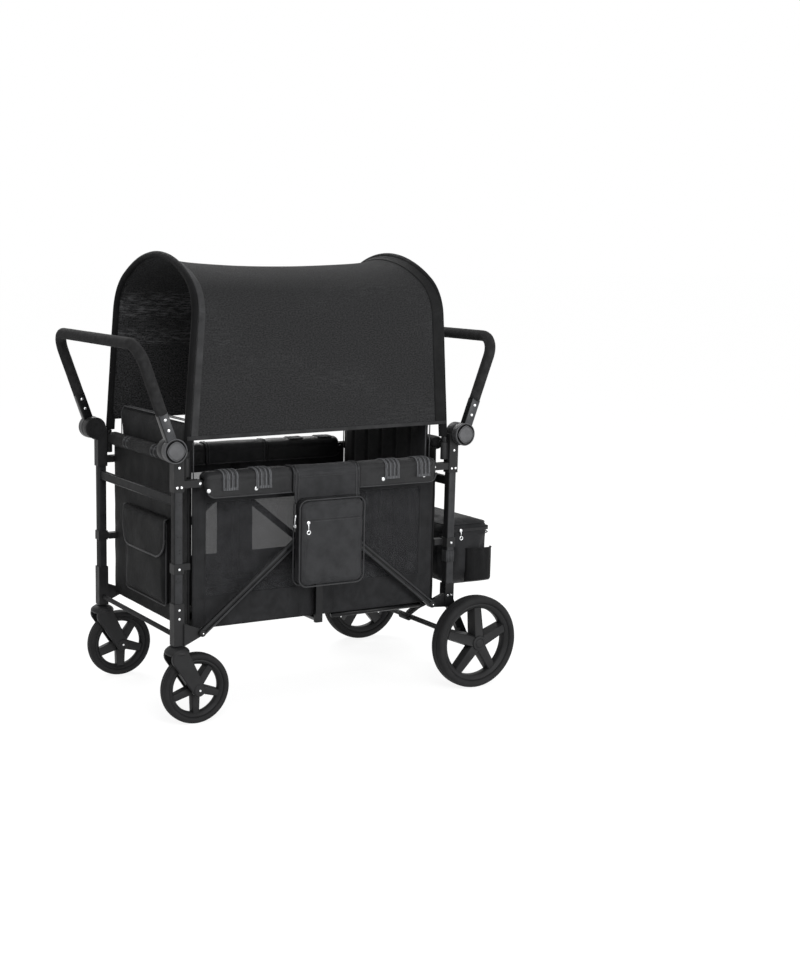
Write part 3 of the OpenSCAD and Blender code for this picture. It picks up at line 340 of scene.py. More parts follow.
def plastic_finish(name, base, roughness=0.5):
    """Moulded plastic with a fine spark-eroded texture."""
    tree, shader = start_material(name, base, roughness, specular=0.17)
    where = coordinates(tree)
    texture = grain(tree, where, 1300, detail=2)
    flow = grain(tree, where, 30, detail=4)
    tint(tree, shader, flow, base, 0.85, 1.3)
    roughen(tree, shader, flow, roughness - 0.07, roughness + 0.1)
    bump(tree, shader, [(texture, 0.00012)])


def tyre_finish(name, base):
    """Foam rubber with a dusty bloom and fine mould marks."""
    tree, shader = start_material(name, base, 0.6, specular=0.13)
    where = coordinates(tree)
    bloom = grain(tree, where, 24, detail=5)
    tint(tree, shader, bloom, base, 0.8, 1.6, start=0.35, end=0.8)
    roughen(tree, shader, bloom, 0.58, 0.78)
    bump(tree, shader, [(grain(tree, where, 700, detail=3), 0.00015)])


def foam_finish(name, base):
    """Closed-cell foam: small round cells."""
    tree, shader = start_material(name, base, 0.85, specular=0.06, sheen=0.02)
    where = coordinates(tree)
    cells = add_node(tree, "ShaderNodeTexVoronoi", {"Vector": where}, Scale=650.0).outputs["Distance"]
    tint(tree, shader, grain(tree, where, 60, detail=4), base, 0.8, 1.5)
    bump(tree, shader, [(cells, 0.0003)])


def metal_finish(name, base, roughness=0.25):
    """Bright plated metal with fine scratches."""
    tree, shader = start_material(name, base, roughness, metallic=1.0)
    where = coordinates(tree, stretch=(1, 1, 12))
    scratches = grain(tree, where, 500, detail=4)
    roughen(tree, shader, scratches, roughness - 0.08, roughness + 0.12)
    tint(tree, shader, scratches, base, 0.85, 1.05)
    bump(tree, shader, [(scratches, 0.00003)])


def zip_finish(name, base):
    """Coil zip on its tape: close teeth along the strip, coloured lighter on the teeth and darker between
    them as painted highlight and shade.
    """
    tree, shader = start_material(name, base, 0.45, specular=0.2)
    where = coordinates(tree, "UV")
    teeth = stripes(tree, where, "X", 0.0022)
    # Teeth stripes in the colour: painted highlight on the teeth and painted shade between them.
    tint(tree, shader, teeth, base, 0.5, 2.4, start=0.2, end=0.9)
    bump(tree, shader, [(teeth, 0.0006)])


def board_finish(name, base):
    """Hardboard under black cloth, slightly pressed."""
    tree, shader = start_material(name, base, 0.75, specular=0.1)
    where = coordinates(tree)
    fibres = grain(tree, where, 160, detail=5)
    tint(tree, shader, fibres, base, 0.7, 1.4)
    bump(tree, shader, [(fibres, 0.0003)])


def finish(name):
    return bpy.data.materials[FINISH_NAME.format(name)]


# Mesh helpers


def begin():
    return bmesh.new()


def piece(name, bm, material, body, replaces=(), smooth=True, more=(), crease=None):
    """A mesh as an object at the origin that rides on a body; edges over crease degrees stay sharp."""
    bmesh.ops.remove_doubles(bm, verts=bm.verts, dist=1e-6)
    bmesh.ops.recalc_face_normals(bm, faces=bm.faces)
    mesh = bpy.data.meshes.new(name)
    bm.to_mesh(mesh)
    bm.free()
    for face in mesh.polygons:
        face.use_smooth = smooth
    if crease:
        mesh.set_sharp_from_angle(angle=math.radians(crease))
    obj = bpy.data.objects.new(name, mesh)
    bpy.context.scene.collection.objects.link(obj)
    for each in (material, *more):
        mesh.materials.append(finish(each))
    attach(obj, body)
    if replaces:
        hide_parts(*replaces)
    return obj


def verts_in(geometry):
    """The vertices among some mesh elements."""
    return [g for g in geometry if isinstance(g, bmesh.types.BMVert)]


def edges_of(verts):
    """All edges that meet some vertices."""
    return list({e for v in verts for e in v.link_edges})


def round_edges(bm, edges, radius, segments, clamp=False):
    """Rounds edges of a mesh; returns the new vertices."""
    return bmesh.ops.bevel(bm, geom=edges, offset=radius, offset_type="OFFSET", segments=segments,
                           profile=0.5, affect="EDGES", material=-1, clamp_overlap=clamp)["verts"]


def fill_holes(bm):
    """Closes a mesh's open edges."""
    bmesh.ops.holes_fill(bm, edges=[e for e in bm.edges if e.is_boundary])


def block(bm, low, high, radius=0.0, segments=3):
    """A box with rounded edges; returns its vertices."""
    low, high = Vector(low), Vector(high)
    size = high - low
    matrix = Matrix.Translation((low + high) / 2) @ Matrix.Diagonal((*size, 1))
    made = bmesh.ops.create_cube(bm, size=1, matrix=matrix)["verts"]
    if radius:
        made = round_edges(bm, edges_of(made), radius, segments, clamp=True)
    return made


def spun(bm, profile, centre, axis, steps=64, start=None):
    """A profile of (radius, height along the axis) spun full circle about an axis; returns its vertices."""
    axis = Vector(axis).normalized()
    side = axis.orthogonal().normalized() if start is None else Vector(start).normalized()
    before = set(bm.verts)
    points = [bm.verts.new(Vector(centre) + side * r + axis * h) for r, h in profile]
    edges = [bm.edges.new(pair) for pair in zip(points, points[1:])]
    bmesh.ops.spin(bm, geom=points + edges, cent=centre, axis=axis, angle=math.tau, steps=steps,
                   use_merge=True, use_duplicate=False)
    made = [v for v in bm.verts if v not in before]
    bmesh.ops.remove_doubles(bm, verts=made, dist=1e-6)
    return [v for v in bm.verts if v not in before]


def tube(bm, points, radius, closed=False, sides=3):
    """A round bead along a path, through a curve made a mesh."""
    curve = bpy.data.curves.new("bead", "CURVE")
    curve.dimensions = "3D"
    curve.bevel_depth = radius
    curve.bevel_resolution = sides
    curve.use_fill_caps = True
    spline = curve.splines.new("POLY")
    spline.points.add(len(points) - 1)
    for place, point in zip(spline.points, points):
        place.co = (*point, 1)
    spline.use_cyclic_u = closed
    holder = bpy.data.objects.new("bead", curve)
    mesh = bpy.data.meshes.new_from_object(holder)
    bm.from_mesh(mesh)
    bpy.data.objects.remove(holder)
    bpy.data.curves.remove(curve)
    bpy.data.meshes.remove(mesh)


def ribbon(bm, points, across, thickness=0.0):
    """A flat band whose middle follows a path; across is half its width, as a vector."""
    across = Vector(across)
    before = set(bm.faces)
    rail = [bm.verts.new(Vector(points[0]) + s * across) for s in (-1, 1)]
    edge = bm.edges.new(rail)
    for here, there in zip(points, points[1:]):
        grown = bmesh.ops.extrude_edge_only(bm, edges=[edge])["geom"]
        bmesh.ops.translate(bm, verts=verts_in(grown), vec=Vector(there) - Vector(here))
        edge = next(g for g in grown if isinstance(g, bmesh.types.BMEdge))
    if thickness:
        made = [f for f in bm.faces if f not in before]
        bmesh.ops.recalc_face_normals(bm, faces=made)
        bmesh.ops.solidify(bm, geom=made, thickness=thickness)


def surface(bm, columns, rows, place, uv_size=None, closed=False):
    """A grid whose points go to place(u, v), u and v from 0 to 1; its map is u and v times uv_size."""
    before = set(bm.faces)
    made = bmesh.ops.create_grid(bm, x_segments=columns, y_segments=rows, size=0.5)["verts"]
    params = {v: (v.co.x + 0.5, v.co.y + 0.5) for v in made}
    if uv_size:
        layer = bm.loops.layers.uv.verify()
        for face in set(bm.faces) - before:
            for loop in face.loops:
                u, v = params[loop.vert]
                loop[layer].uv = (u * uv_size[0], v * uv_size[1])
    for vert, (u, v) in params.items():
        vert.co = place(u, v)
    if closed:
        bmesh.ops.remove_doubles(bm, verts=made, dist=1e-5)


def turns(count):
    """Angles of a full turn in equal steps."""
    return [math.tau * i / count for i in range(count)]


def spread(start, stop, count):
    """Evenly spaced values from start to stop, in count steps."""
    return [start + (stop - start) * i / count for i in range(count + 1)]


def rounded_path(w, h, r, steps=6):
    """Points round a rectangle with rounded corners, about (0, 0)."""
    path = []
    for k, (sx, sy) in enumerate(((1, 1), (-1, 1), (-1, -1), (1, -1))):
        for i in range(steps + 1):
            a = math.radians(90 * k + 90 * i / steps)
            path.append((sx * (w / 2 - r) + r * math.cos(a), sy * (h / 2 - r) + r * math.sin(a)))
    return path


def lump(point, scale, seed=0.0):
    """Smooth noise from about -1 to 1 at a point."""
    return noise.noise(Vector(point) * scale + Vector((seed, 1.7 * seed, -seed)))


def swell(x, power=4):
    """1 in the middle of -1 to 1, falling to 0 at both ends."""
    return max(0.0, 1 - abs(x) ** power)


def add_thickness(obj, thickness, offset=0.0, inside=0):
    """Gives a sheet its thickness; inside is how many materials further the inner face's is."""
    made = obj.modifiers.new("thickness", "SOLIDIFY")
    made.thickness = thickness
    made.offset = offset
    made.material_offset = inside


def add_smoothing(obj):
    """One level of subdivision."""
    made = obj.modifiers.new("smooth", "SUBSURF")
    made.levels = made.render_levels = 1


def settle(obj):
    """Applies an object's modifiers to its mesh."""
    graph = bpy.context.evaluated_depsgraph_get()
    mesh = bpy.data.meshes.new_from_object(obj.evaluated_get(graph))
    old = obj.data
    obj.modifiers.clear()
    obj.data = mesh
    bpy.data.meshes.remove(old)
    mesh.name = obj.name
    for face in mesh.polygons:
        face.use_smooth = True


def inflate(obj, cap, voxel):
    """Blows a padded piece up by a short cloth run, with no point moving further than cap."""
    pressure, frames = 4.0, 20
    even = obj.modifiers.new("even", "REMESH")
    even.mode = "VOXEL"
    even.voxel_size = voxel
    settle(obj)
    rest = [v.co.copy() for v in obj.data.vertices]
    air = obj.modifiers.new("air", "CLOTH")
    air.settings.quality = 4
    air.settings.use_pressure = True
    air.settings.uniform_pressure_force = pressure
    air.settings.effector_weights.gravity = 0
    scene = bpy.context.scene
    for step in range(1, frames + 1):
        scene.frame_set(step)
    settle(obj)
    scene.frame_set(1)
    for vert, start in zip(obj.data.vertices, rest):
        move = vert.co - start
        if move.length > cap:
            vert.co = start + move * (cap / move.length)


def shape_points(obj, change):
    """Moves each point of a finished mesh by change(point)."""
    for vert in obj.data.vertices:
        vert.co += change(vert.co)
    obj.data.update()


def both_sides(build):
    """A new mesh with a shape built on the right side and its mirror image on the left."""
    bm = begin()
    build(bm)
    half = list(bm.verts) + list(bm.edges) + list(bm.faces)
    copy = bmesh.ops.duplicate(bm, geom=half)["geom"]
    bmesh.ops.scale(bm, verts=verts_in(copy), vec=(1, -1, 1))
    return bm


# Rigid pieces


def soften(node, material, radius):
    """Keeps a frame node's own shape, with its finish and rounded edges."""
    obj = frame["nodes"][node]
    obj.data.materials.clear()
    obj.data.materials.append(finish(material))
    weld = obj.modifiers.new("weld", "WELD")
    weld.merge_threshold = 1e-5
    flat = obj.modifiers.new("flat", "DECIMATE")
    flat.decimate_type = "DISSOLVE"
    flat.angle_limit = math.radians(2)
    if radius:
        edge = obj.modifiers.new("edges", "BEVEL")
        edge.width = radius
        edge.segments = 2
        edge.limit_method = "ANGLE"
        edge.angle_limit = math.radians(35)
        edge.harden_normals = False


CAD_FINISHES = {
    "satin_paint": ["rear_legs", "rear_axle", "center_frame", "front_rails", "rear_rails",
                    "front_handle_bar", "rear_handle_bar", "front_hoop", "rear_hoop"],
    "satin_dark": ["rear_cross_tubes", "front_cross_tubes"],
    "moulded_plastic": ["rear_upper_brackets", "front_upper_brackets", "front_lower_brackets",
                        "rear_collars", "front_collars", "brake_pedal"],
    "bright_metal": ["rear_fasteners", "front_fasteners", "scissor_pins"],
    "hardboard": ["front_floor_board", "rear_floor_board", "center_floor_plate"],
}


def dress_frame():
    """Finishes the frame nodes that keep their own shape."""
    for material, nodes in CAD_FINISHES.items():
        for node in nodes:
            soften(node, material, sizes().edge_r if material != "bright_metal" else 0.0006)


def make_posts():
    """Square post tubes with rounded corners, their side faces in a lighter satin as a painted highlight,
    and ridges along the flat upper tubes whose light colour is a painted highlight.
    """
    for end in ENDS:
        low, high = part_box(f"{end}_posts")
        bm = begin()
        for side in (-1, 1):
            y = side * POST_Y
            made = block(bm, (low.x, y - POST_W / 2, low.z), (high.x, y + POST_W / 2, high.z))
            upright = [e for e in edges_of(made) if abs(e.verts[0].co.z - e.verts[1].co.z) > POST_W]
            round_edges(bm, upright, sizes().post_corner_r, 4)
        obj = piece(f"{end}_post_tubes", bm, "satin_painted_highlight", f"{end}_frame",
                    [f"{end}_posts"], more=["satin_dark"], crease=40)
        # Faces towards the sides take the lighter satin, a painted highlight; the others take the rougher
        # satin.
        for face in obj.data.polygons:
            face.material_index = int(abs(face.normal.y) < 0.7)
        bm = begin()
        tube_x, half_y = ENDS[end] * (POST_X + 0.006), POST_Y - POST_W / 2
        tube_z, half_h, highlight_ridge_r = 0.6235, 0.0115, 0.0012
        # Thin beads along both edges of the flat tube; their light colour is a painted highlight.
        for rise in (-half_h, half_h):
            tube(bm, [at(tube_x, y, tube_z + rise) for y in (-half_y, half_y)], highlight_ridge_r)
        piece(f"{end}_tube_highlight_ridges", bm, "satin_painted_highlight", f"{end}_frame")


def make_scissor_bars():
    """Flat scissor bars with a rolled groove and round ends, and caps on their lower pivots; the ridge tops
    take a lighter satin as a painted highlight, and a tiny bright stud on each cap is a painted glint.
    """
    pivot_front = Vector(JOINTS["fold_front"]["pos_m"])
    pivot_rear = Vector(JOINTS["fold"]["pos_m"])
    crossing = Vector(JOINTS["fold_cross"]["pos_m"])
    bar_w, thick = 0.020, 0.008
    cap_r, cap_h, glint_r, glint_h = 0.0095, 0.0045, 0.0024, 0.0014
    section = [(-0.5, 0), (-0.5, 0.8), (-0.42, 1), (-0.2, 1), (-0.12, 0.62), (0.12, 0.62),
               (0.2, 1), (0.42, 1), (0.5, 0.8), (0.5, 0)]
    for name, pivot, body in (("a", pivot_front, "scissor_a"), ("b", pivot_rear, "scissor_b")):
        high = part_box(f"scissor_bars_{name}")[1]
        outer = high.y
        along = (crossing - pivot).normalized()
        up = Vector((0, 1, 0)).cross(along)
        length = (high.z - bar_w / 2 - pivot.z) / along.z

        def bar(bm):
            ring = [bm.verts.new(pivot + up * (w * bar_w) + Vector((0, outer - thick + t * thick, 0)))
                    for w, t in section]
            face = bm.faces.new(ring)
            grown = bmesh.ops.extrude_face_region(bm, geom=[face])["geom"]
            bmesh.ops.translate(bm, verts=verts_in(grown), vec=along * length)
            for centre in (pivot, pivot + along * length):
                base = centre + Vector((0, outer, 0))
                spun(bm, [(0.0, 0.0), (bar_w * 0.42, 0.0), (bar_w / 2, -0.2 * thick),
                          (bar_w / 2, -thick), (0.0, -thick)], base, (0, 1, 0), steps=32, start=up)

        bm = both_sides(bar)
        obj = piece(f"scissor_arms_{name}", bm, "satin_paint", body,
                    [f"scissor_bars_{name}"], more=["satin_painted_highlight"], crease=30)
        # The flat faces at the outer side, the ridge tops, take the lighter satin: a painted highlight.
        for face in obj.data.polygons:
            if abs(abs(face.center.y) - outer) < 0.0002 and abs(face.normal.y) > 0.9:
                face.material_index = 1
        base = pivot + Vector((0, outer + 0.0003, 0))
        cap_profile = [(0.0, 0.0)] + dome(cap_r, cap_h, 0.0)
        # A tiny bright stud in the middle of each cap stands for a glint: a painted highlight.
        glint_profile = [(0.0, cap_h - 0.001)] + dome(glint_r, glint_h, cap_h - 0.0006)
        bm = both_sides(lambda bm: spun(bm, cap_profile, base, (0, 1, 0), steps=32))
        piece(f"scissor_caps_{name}", bm, "moulded_plastic", body)
        bm = both_sides(lambda bm: spun(bm, glint_profile, base, (0, 1, 0), steps=16))
        piece(f"scissor_cap_glint_studs_{name}", bm, "bright_metal", body)


def dome(radius, height, y0, steps=6):
    """Profile of a shallow dome from its rim to its middle."""
    return [(radius * math.cos(math.pi / 2 * i / steps), y0 + height * math.sin(math.pi / 2 * i / steps))
            for i in range(steps + 1)]


def tyre_profile(r, h, w):
    """Half round tyre with two tread grooves, as (radius, height) from one bead to the other."""
    half = w / 2
    side = [(r - h, -half * 0.72), (r - h + 0.001, -half * 0.86), (r - h * 0.72, -half * 0.98),
            (r - h * 0.45, -half), (r - h * 0.24, -half * 0.93), (r - h * 0.1, -half * 0.76),
            (r - h * 0.03, -half * 0.52)]
    groove = [(r - 0.0004, -half * 0.36), (r - 0.003, -half * 0.33), (r - 0.003, -half * 0.27),
              (r, -half * 0.24)]
    half_way = side + groove
    return half_way + [(radius, -y) for radius, y in reversed(half_way)] + [(r - h, -half * 0.72)]


def add_spoke(bm, centre, angle, outward, hub_r, ring_r, root, tip, hub_mid, depth):
    """Tapered spoke with a raised face and rounded edges."""
    turn = Matrix.Rotation(angle, 3, "Y")
    radial, side = turn @ Vector((0, 0, 1)), turn @ Vector((1, 0, 0))
    axis = Vector((0, outward, 0))
    made = bmesh.ops.create_cube(bm, size=1)["verts"]
    for vert in made:
        far = vert.co.z > 0
        wide = (tip if far else root) * vert.co.x
        reach = ring_r if far else hub_r
        middle = 0 if far else hub_mid
        narrow = 0.78 if vert.co.y > 0 else 1.0
        vert.co = centre + radial * reach + side * wide * narrow + axis * (middle + depth * vert.co.y)
    round_edges(bm, edges_of(made), 0.0022, 2)


def make_wheel(end, side, body):
    """One wheel: a tyre with a round shoulder, and a rim with five dished spokes."""
    rear = end == "rear"
    low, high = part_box(f"{end}_tyre_{side}")
    centre = (low + high) / 2
    r, w = (high.z - low.z) / 2, high.y - low.y
    outward = SIDES[side]
    tyre_h, rim_h = (0.022, 0.016) if rear else (0.018, 0.014)
    hub_r, hub_out, hub_in = (0.024, 0.034, 0.020) if rear else (0.017, w / 2, w / 2)
    root, tip, depth = (0.040, 0.031, 0.028) if rear else (0.030, 0.024, 0.020)
    first = 0 if rear else math.pi
    bm = begin()
    axis = (0, outward, 0)
    spun(bm, tyre_profile(r, tyre_h, w), centre, axis, steps=96)
    piece(f"{end}_tyre_ring_{side}", bm, "tyre_rubber", body, [f"{end}_tyre_{side}"], crease=50)
    ring_out, ring_in = r - tyre_h, r - tyre_h - rim_h
    half = w / 2 * 0.74
    bm = begin()
    spun(bm, [(ring_out, -half), (ring_out + 0.0022, -half + 0.002), (ring_out, -half + 0.005),
              (ring_out, half - 0.005), (ring_out + 0.0022, half - 0.002), (ring_out, half),
              (ring_out - 0.004, half + 0.001), (ring_in + 0.004, half - 0.004), (ring_in, half - 0.009),
              (ring_in, -half + 0.009), (ring_in + 0.004, -half + 0.004), (ring_out - 0.004, -half - 0.001),
              (ring_out, -half)], centre, axis, steps=96)
    hub_mid = hub_out - depth / 2 - 0.005 if rear else 0
    for k in range(5):
        add_spoke(bm, centre, first + math.tau * k / 5, outward, hub_r * 0.5, ring_in + 0.004, root, tip,
                  hub_mid, depth)
    face = hub_out - 0.002
    spun(bm, [(0.0, -hub_in), (hub_r - 0.002, -hub_in), (hub_r, -hub_in + 0.002), (hub_r, face - 0.006),
              (hub_r - 0.003, face - 0.001), (hub_r * 0.62, face), (hub_r * 0.58, face - 0.0012),
              (hub_r * 0.54, face)] + dome(hub_r * 0.52, 0.002, face), centre, axis, steps=48)
    piece(f"{end}_rim_{side}_spoked", bm, "moulded_plastic", body,
          [f"{end}_rim_{side}"], crease=40)


def make_wheels():
    for side in SIDES:
        make_wheel("rear", side, f"rear_{side}_wheel")
        make_wheel("front", side, f"front_{side}_wheel")


def hull_of(bm, rings):
    """Convex skin round some rings of points."""
    points = [bm.verts.new(p) for p in rings]
    made = bmesh.ops.convex_hull(bm, input=points)
    loose = set(verts_in(made["geom_interior"] + made["geom_unused"]))
    bmesh.ops.delete(bm, geom=list(loose), context="VERTS")


def make_forks():
    """Caster forks: domed crown, two sweeping arms and the axle bolt."""
    crown_r, crown_z, crown_h = 0.035, 0.206, 0.020
    arm_in, arm_t, boss_r, root_r, root_drop = 0.0215, 0.011, 0.019, 0.027, 0.012
    edge, cap_r, bolt_r, bolt_h = 0.003, 0.0165, 0.0036, 0.0018
    arm_out = arm_in + arm_t
    end = arm_out + edge
    for side in SIDES:
        body = f"{side}_caster"
        swivel = Vector(JOINTS[f"{side}_caster_swivel"]["pos_m"])
        axle = Vector(JOINTS[f"front_{side}_wheel_spin"]["pos_m"])
        base = Vector((swivel.x, swivel.y, crown_z))
        bm = begin()
        spun(bm, [(0.0, -0.006), (crown_r - 0.008, -0.006), (crown_r - 0.002, -0.002)]
             + [(r, h) for r, h in dome(crown_r, crown_h - 0.0026, 0.002, 8) if r > 0.4 * crown_r]
             + [(0.0, crown_h - 0.0007)], base, (0, 0, 1), steps=48)
        for s in (-1, 1):
            rings = []
            for y, inset in ((arm_in, 0.0), (arm_out - edge, 0.0), (arm_out, edge)):
                for centre, r, drop in ((axle, boss_r - inset, 0.0), (base, root_r - inset, root_drop)):
                    rings += [centre + Vector((r * math.cos(a), s * y, r * math.sin(a) - drop))
                              for a in turns(24)]
            hull_of(bm, rings)
            spun(bm, [(0.0, s * end), (cap_r - 0.002, s * end), (cap_r, s * (end - 0.002)),
                      (cap_r, s * (end - 0.007))], axle, (0, 1, 0), steps=32)
        piece(f"fork_{side}_moulded", bm, "moulded_plastic", body,
              [f"caster_fork_{side}"], crease=35)
        # The bolt head is small and bright, sized to the glint on the dark boss: a real bolt whose bright
        # metal is a painted highlight.
        bm = begin()
        for s in (-1, 1):
            hexagon = spun(bm, [(0.0, s * (end + bolt_h)), (bolt_r - 0.0006, s * (end + bolt_h)),
                                (bolt_r, s * (end + 0.0010)), (bolt_r, s * end)], axle, (0, 1, 0), steps=6)
            bmesh.ops.rotate(bm, verts=hexagon, cent=axle, matrix=Matrix.Rotation(0.3, 3, "Y"))
        piece(f"fork_{side}_bolt", bm, "bright_metal", body, smooth=False, crease=20)


def make_brake_spoon():
    """Spoon-shaped pad over the brake's pedal."""
    pivot = Vector(JOINTS["brake_press"]["pos_m"])
    slope = math.radians(31)
    along = Vector((math.cos(slope), 0, math.sin(slope)))
    up = Vector((-math.sin(slope), 0, math.cos(slope)))
    stations = ((0.020, 0.0115), (0.052, 0.0125), (0.0785, 0.0225))
    layers = ((-0.0046, 0.0), (0.0046, 0.0), (0.0060, 0.003))
    bm = begin()
    for pair in zip(stations, stations[1:]):
        hull_of(bm, [pivot + along * (reach + (r - inset) * math.cos(a)) + up * rise
                     + Vector((0, (r - inset) * math.sin(a), 0))
                     for reach, r in pair for rise, inset in layers for a in turns(24)])
    piece("brake_spoon", bm, "moulded_plastic", "brake", crease=35)


def make_floor_rims():
    """Edge tubes under the rear floor board."""
    low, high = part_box("rear_floor_board")
    rim_r = 0.0075
    bm = begin()
    for side in (-1, 1):
        y = side * (high.y - rim_r / 2)
        tube(bm, [(x, y, low.z + rim_r / 4) for x in (low.x + 0.004, high.x - 0.025)], rim_r)
    piece("rear_floor_rims", bm, "satin_paint", "rear_floor")


def handle_axes(end):
    """Pivot, direction along the arms and direction across them for a handle."""
    pivot = Vector(JOINTS[f"{end}_handle_tilt"]["pos_m"])
    tilt = math.radians(20) * ENDS[end]
    return pivot, Vector((math.sin(tilt), 0, math.cos(tilt))), Vector((math.cos(tilt), 0, -math.sin(tilt)))


def add_ribs(bm, pivot, near, far):
    """Ribbed ring round the turning drum of a hub, between two places across the wagon."""
    ring_r, ring_h, rib_h, ribs = 0.0318, 0.0010, 0.0004, 48

    def rib(u, v):
        a, t = math.tau * u, math.tau * v
        c, s = math.cos(t), math.sin(t)
        r = ring_r + ring_h * math.copysign(abs(c) ** 0.4, c)
        r += rib_h * math.cos(ribs * a) * max(0.0, c)
        y = (near + far) / 2 + (far - near) / 2 * math.copysign(abs(s) ** 0.4, s)
        return Vector((pivot.x + r * math.cos(a), y, pivot.z + r * math.sin(a)))

    surface(bm, 192, 20, rib, closed=True)


def make_hubs(end, pivot, turn_y, thick, out_y):
    """Turning drums with ribs and a seat for the button, and the rings of the fixed drums."""
    hub_r, bore_r, seat_r, seat_h, body = 0.032, 0.010, 0.0277, 0.0085, f"{end}_handle"

    def turning(bm):
        spun(bm, [(bore_r, 0.0), (hub_r - 0.002, 0.0), (hub_r, 0.002), (hub_r, thick - 0.003),
                  (hub_r - 0.003, thick), (seat_r + 0.001, thick), (seat_r, thick - 0.0012),
                  (seat_r, thick - seat_h), (bore_r, thick - seat_h - 0.0005), (bore_r, 0.0)],
             (pivot.x, turn_y, pivot.z), (0, 1, 0), steps=72)

    piece(f"{end}_hub_drums", both_sides(turning), "moulded_plastic", body,
          [f"{end}_handle_hubs"], crease=30)
    bm = both_sides(lambda bm: add_ribs(bm, pivot, turn_y + 0.002, out_y - 0.003))
    piece(f"{end}_hub_ribs", bm, "bezel_grey", body)

    def bezel(bm):
        spun(bm, [(0.0303, 0.0), (0.0312, 0.0008), (0.0322, 0.0006), (0.0332, -0.0008), (0.0332, -0.0030),
                  (0.0318, -0.0034), (0.0303, -0.0034), (0.0303, 0.0)],
             (pivot.x, out_y, pivot.z), (0, 1, 0), steps=72)

    piece(f"{end}_hub_bezels", both_sides(bezel), "button_grey", body, crease=40)

    def rings(bm):
        for r in (0.009, 0.018, 0.027):
            spun(bm, [(r, 0.0), (r + 0.0008, -0.0012), (r + 0.0032, -0.0012), (r + 0.004, 0.0)],
                 (pivot.x, INNER_DRUM_Y, pivot.z), (0, 1, 0), steps=48)

    piece(f"{end}_hub_rings", both_sides(rings), "moulded_plastic", f"{end}_frame",
          crease=30)


def make_arms(end, pivot, up, across, arm_y, grip_start):
    """Flat arm plates over the handle's tube, each with two rivets; their outer faces take a much lighter
    paint as a painted highlight.
    """
    half_w, half_t, body = 0.0145, 0.0116, f"{end}_handle"

    def plates(bm):
        block(bm, (-half_w, -half_t, 0.0285), (half_w, half_t, grip_start + 0.004), 0.003)
        turn = Matrix((across, Vector((0, 1, 0)), up)).transposed()
        for vert in bm.verts:
            vert.co = turn @ vert.co + Vector((pivot.x, arm_y, pivot.z))

    arms = piece(f"{end}_arm_plates", both_sides(plates), "satin_paint", body,
                 more=["arm_metal"], crease=35)
    # Outer faces take the much lighter paint: a painted highlight.
    for face in arms.data.polygons:
        if face.normal.y * math.copysign(1, face.center.y) > 0.9:
            face.material_index = 1

    def rivets(bm):
        for reach in (0.060, 0.090):
            for s in (-1, 1):
                base = Vector((pivot.x, arm_y + s * half_t, pivot.z)) + up * reach
                spun(bm, [(0.0046, 0.0)] + dome(0.0046, 0.0024, 0.0), base, (0, s, 0), steps=20)

    piece(f"{end}_arm_rivets", both_sides(rivets), "bright_metal", body)


def make_grip(end, pivot, up, arm_y, grip_start):
    """Foam grip round the handle's bow, from one arm to the other."""
    arm_len, bend_r, grip_r = 0.300, 0.060, 0.016
    half = arm_y - bend_r
    path = [(arm_y, grip_start), (arm_y, arm_len - bend_r)]
    path += [(half + bend_r * math.cos(a), arm_len - bend_r + bend_r * math.sin(a))
             for a in (math.pi / 2 * i / 12 for i in range(1, 13))]
    path += [(-y, h) for y, h in reversed(path)]
    line = loop_path(path, 0.012, closed=False)
    bm = begin()
    tube(bm, [pivot + up * h + Vector((0, y, 0)) for y, h in line], grip_r, sides=6)
    for vert in bm.verts:
        vert.co += Vector((1, 0.4, 1)) * 0.0003 * lump(vert.co, 60)
    grip = piece(f"{end}_foam_grip", bm, "grip_foam", f"{end}_handle", [f"{end}_grip"])


def make_handles():
    """Handle hubs with their buttons, arm plates with rivets, and the foam grips."""
    thick, grip_start = 0.0255, 0.105
    for end in ENDS:
        out_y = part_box(f"{end}_handle_hubs")[1].y
        turn_y = out_y - thick
        pivot, up, across = handle_axes(end)
        make_hubs(end, pivot, turn_y, thick, out_y)
        arm_y = turn_y + thick / 2
        make_arms(end, pivot, up, across, arm_y, grip_start)
        make_grip(end, pivot, up, arm_y, grip_start)
        for side, sy in SIDES.items():
            make_button(end, side, sy, pivot, out_y)


def diamond(reach, count=64):
    """Points of a soft-cornered diamond about (0, 0)."""
    power = 1.6
    points = []
    for a in turns(count):
        c, s = math.cos(a), math.sin(a)
        r = reach / (abs(c) ** power + abs(s) ** power) ** (1 / power)
        points.append((r * c, r * s))
    return points


def make_button(end, side, sy, pivot, out_y):
    """Button with a soft-cornered diamond for a face, and a groove inside its edge."""
    low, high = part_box(f"{end}_{side}_button")
    rise = max(high.y, -low.y) - out_y
    axis = Vector((0, sy, 0))
    base = Vector((pivot.x, sy * out_y, pivot.z))
    bm = begin()
    neck_r, face_r, skirt = 0.0218, 0.0266, 0.0023
    spun(bm, [(0.0, -0.001), (neck_r, -0.001), (neck_r, skirt + 0.0002), (0.0, skirt + 0.0002)], base, axis,
         steps=64)
    ring = [bm.verts.new(base + Vector((x, 0, z)) + axis * skirt) for x, z in diamond(face_r)]
    top = [bm.faces.new(ring)]
    for rise_by, inset in ((rise - 0.0004 - skirt, 0.0), (0.0004, 0.0008), (0.0, 0.0012), (-0.0007, 0.0005),
                           (0.0, 0.0008), (0.0007, 0.0005)):
        if inset:
            bmesh.ops.inset_region(bm, faces=top, thickness=inset)
        else:
            grown = bmesh.ops.extrude_face_region(bm, geom=top)["geom"]
            top = [g for g in grown if isinstance(g, bmesh.types.BMFace)]
        bmesh.ops.translate(bm, verts=top[0].verts[:], vec=axis * rise_by)
    piece(f"{end}_{side}_button_cap", bm, "button_grey", f"{end}_{side}_button",
          [f"{end}_{side}_button"], crease=30)


# Canopy


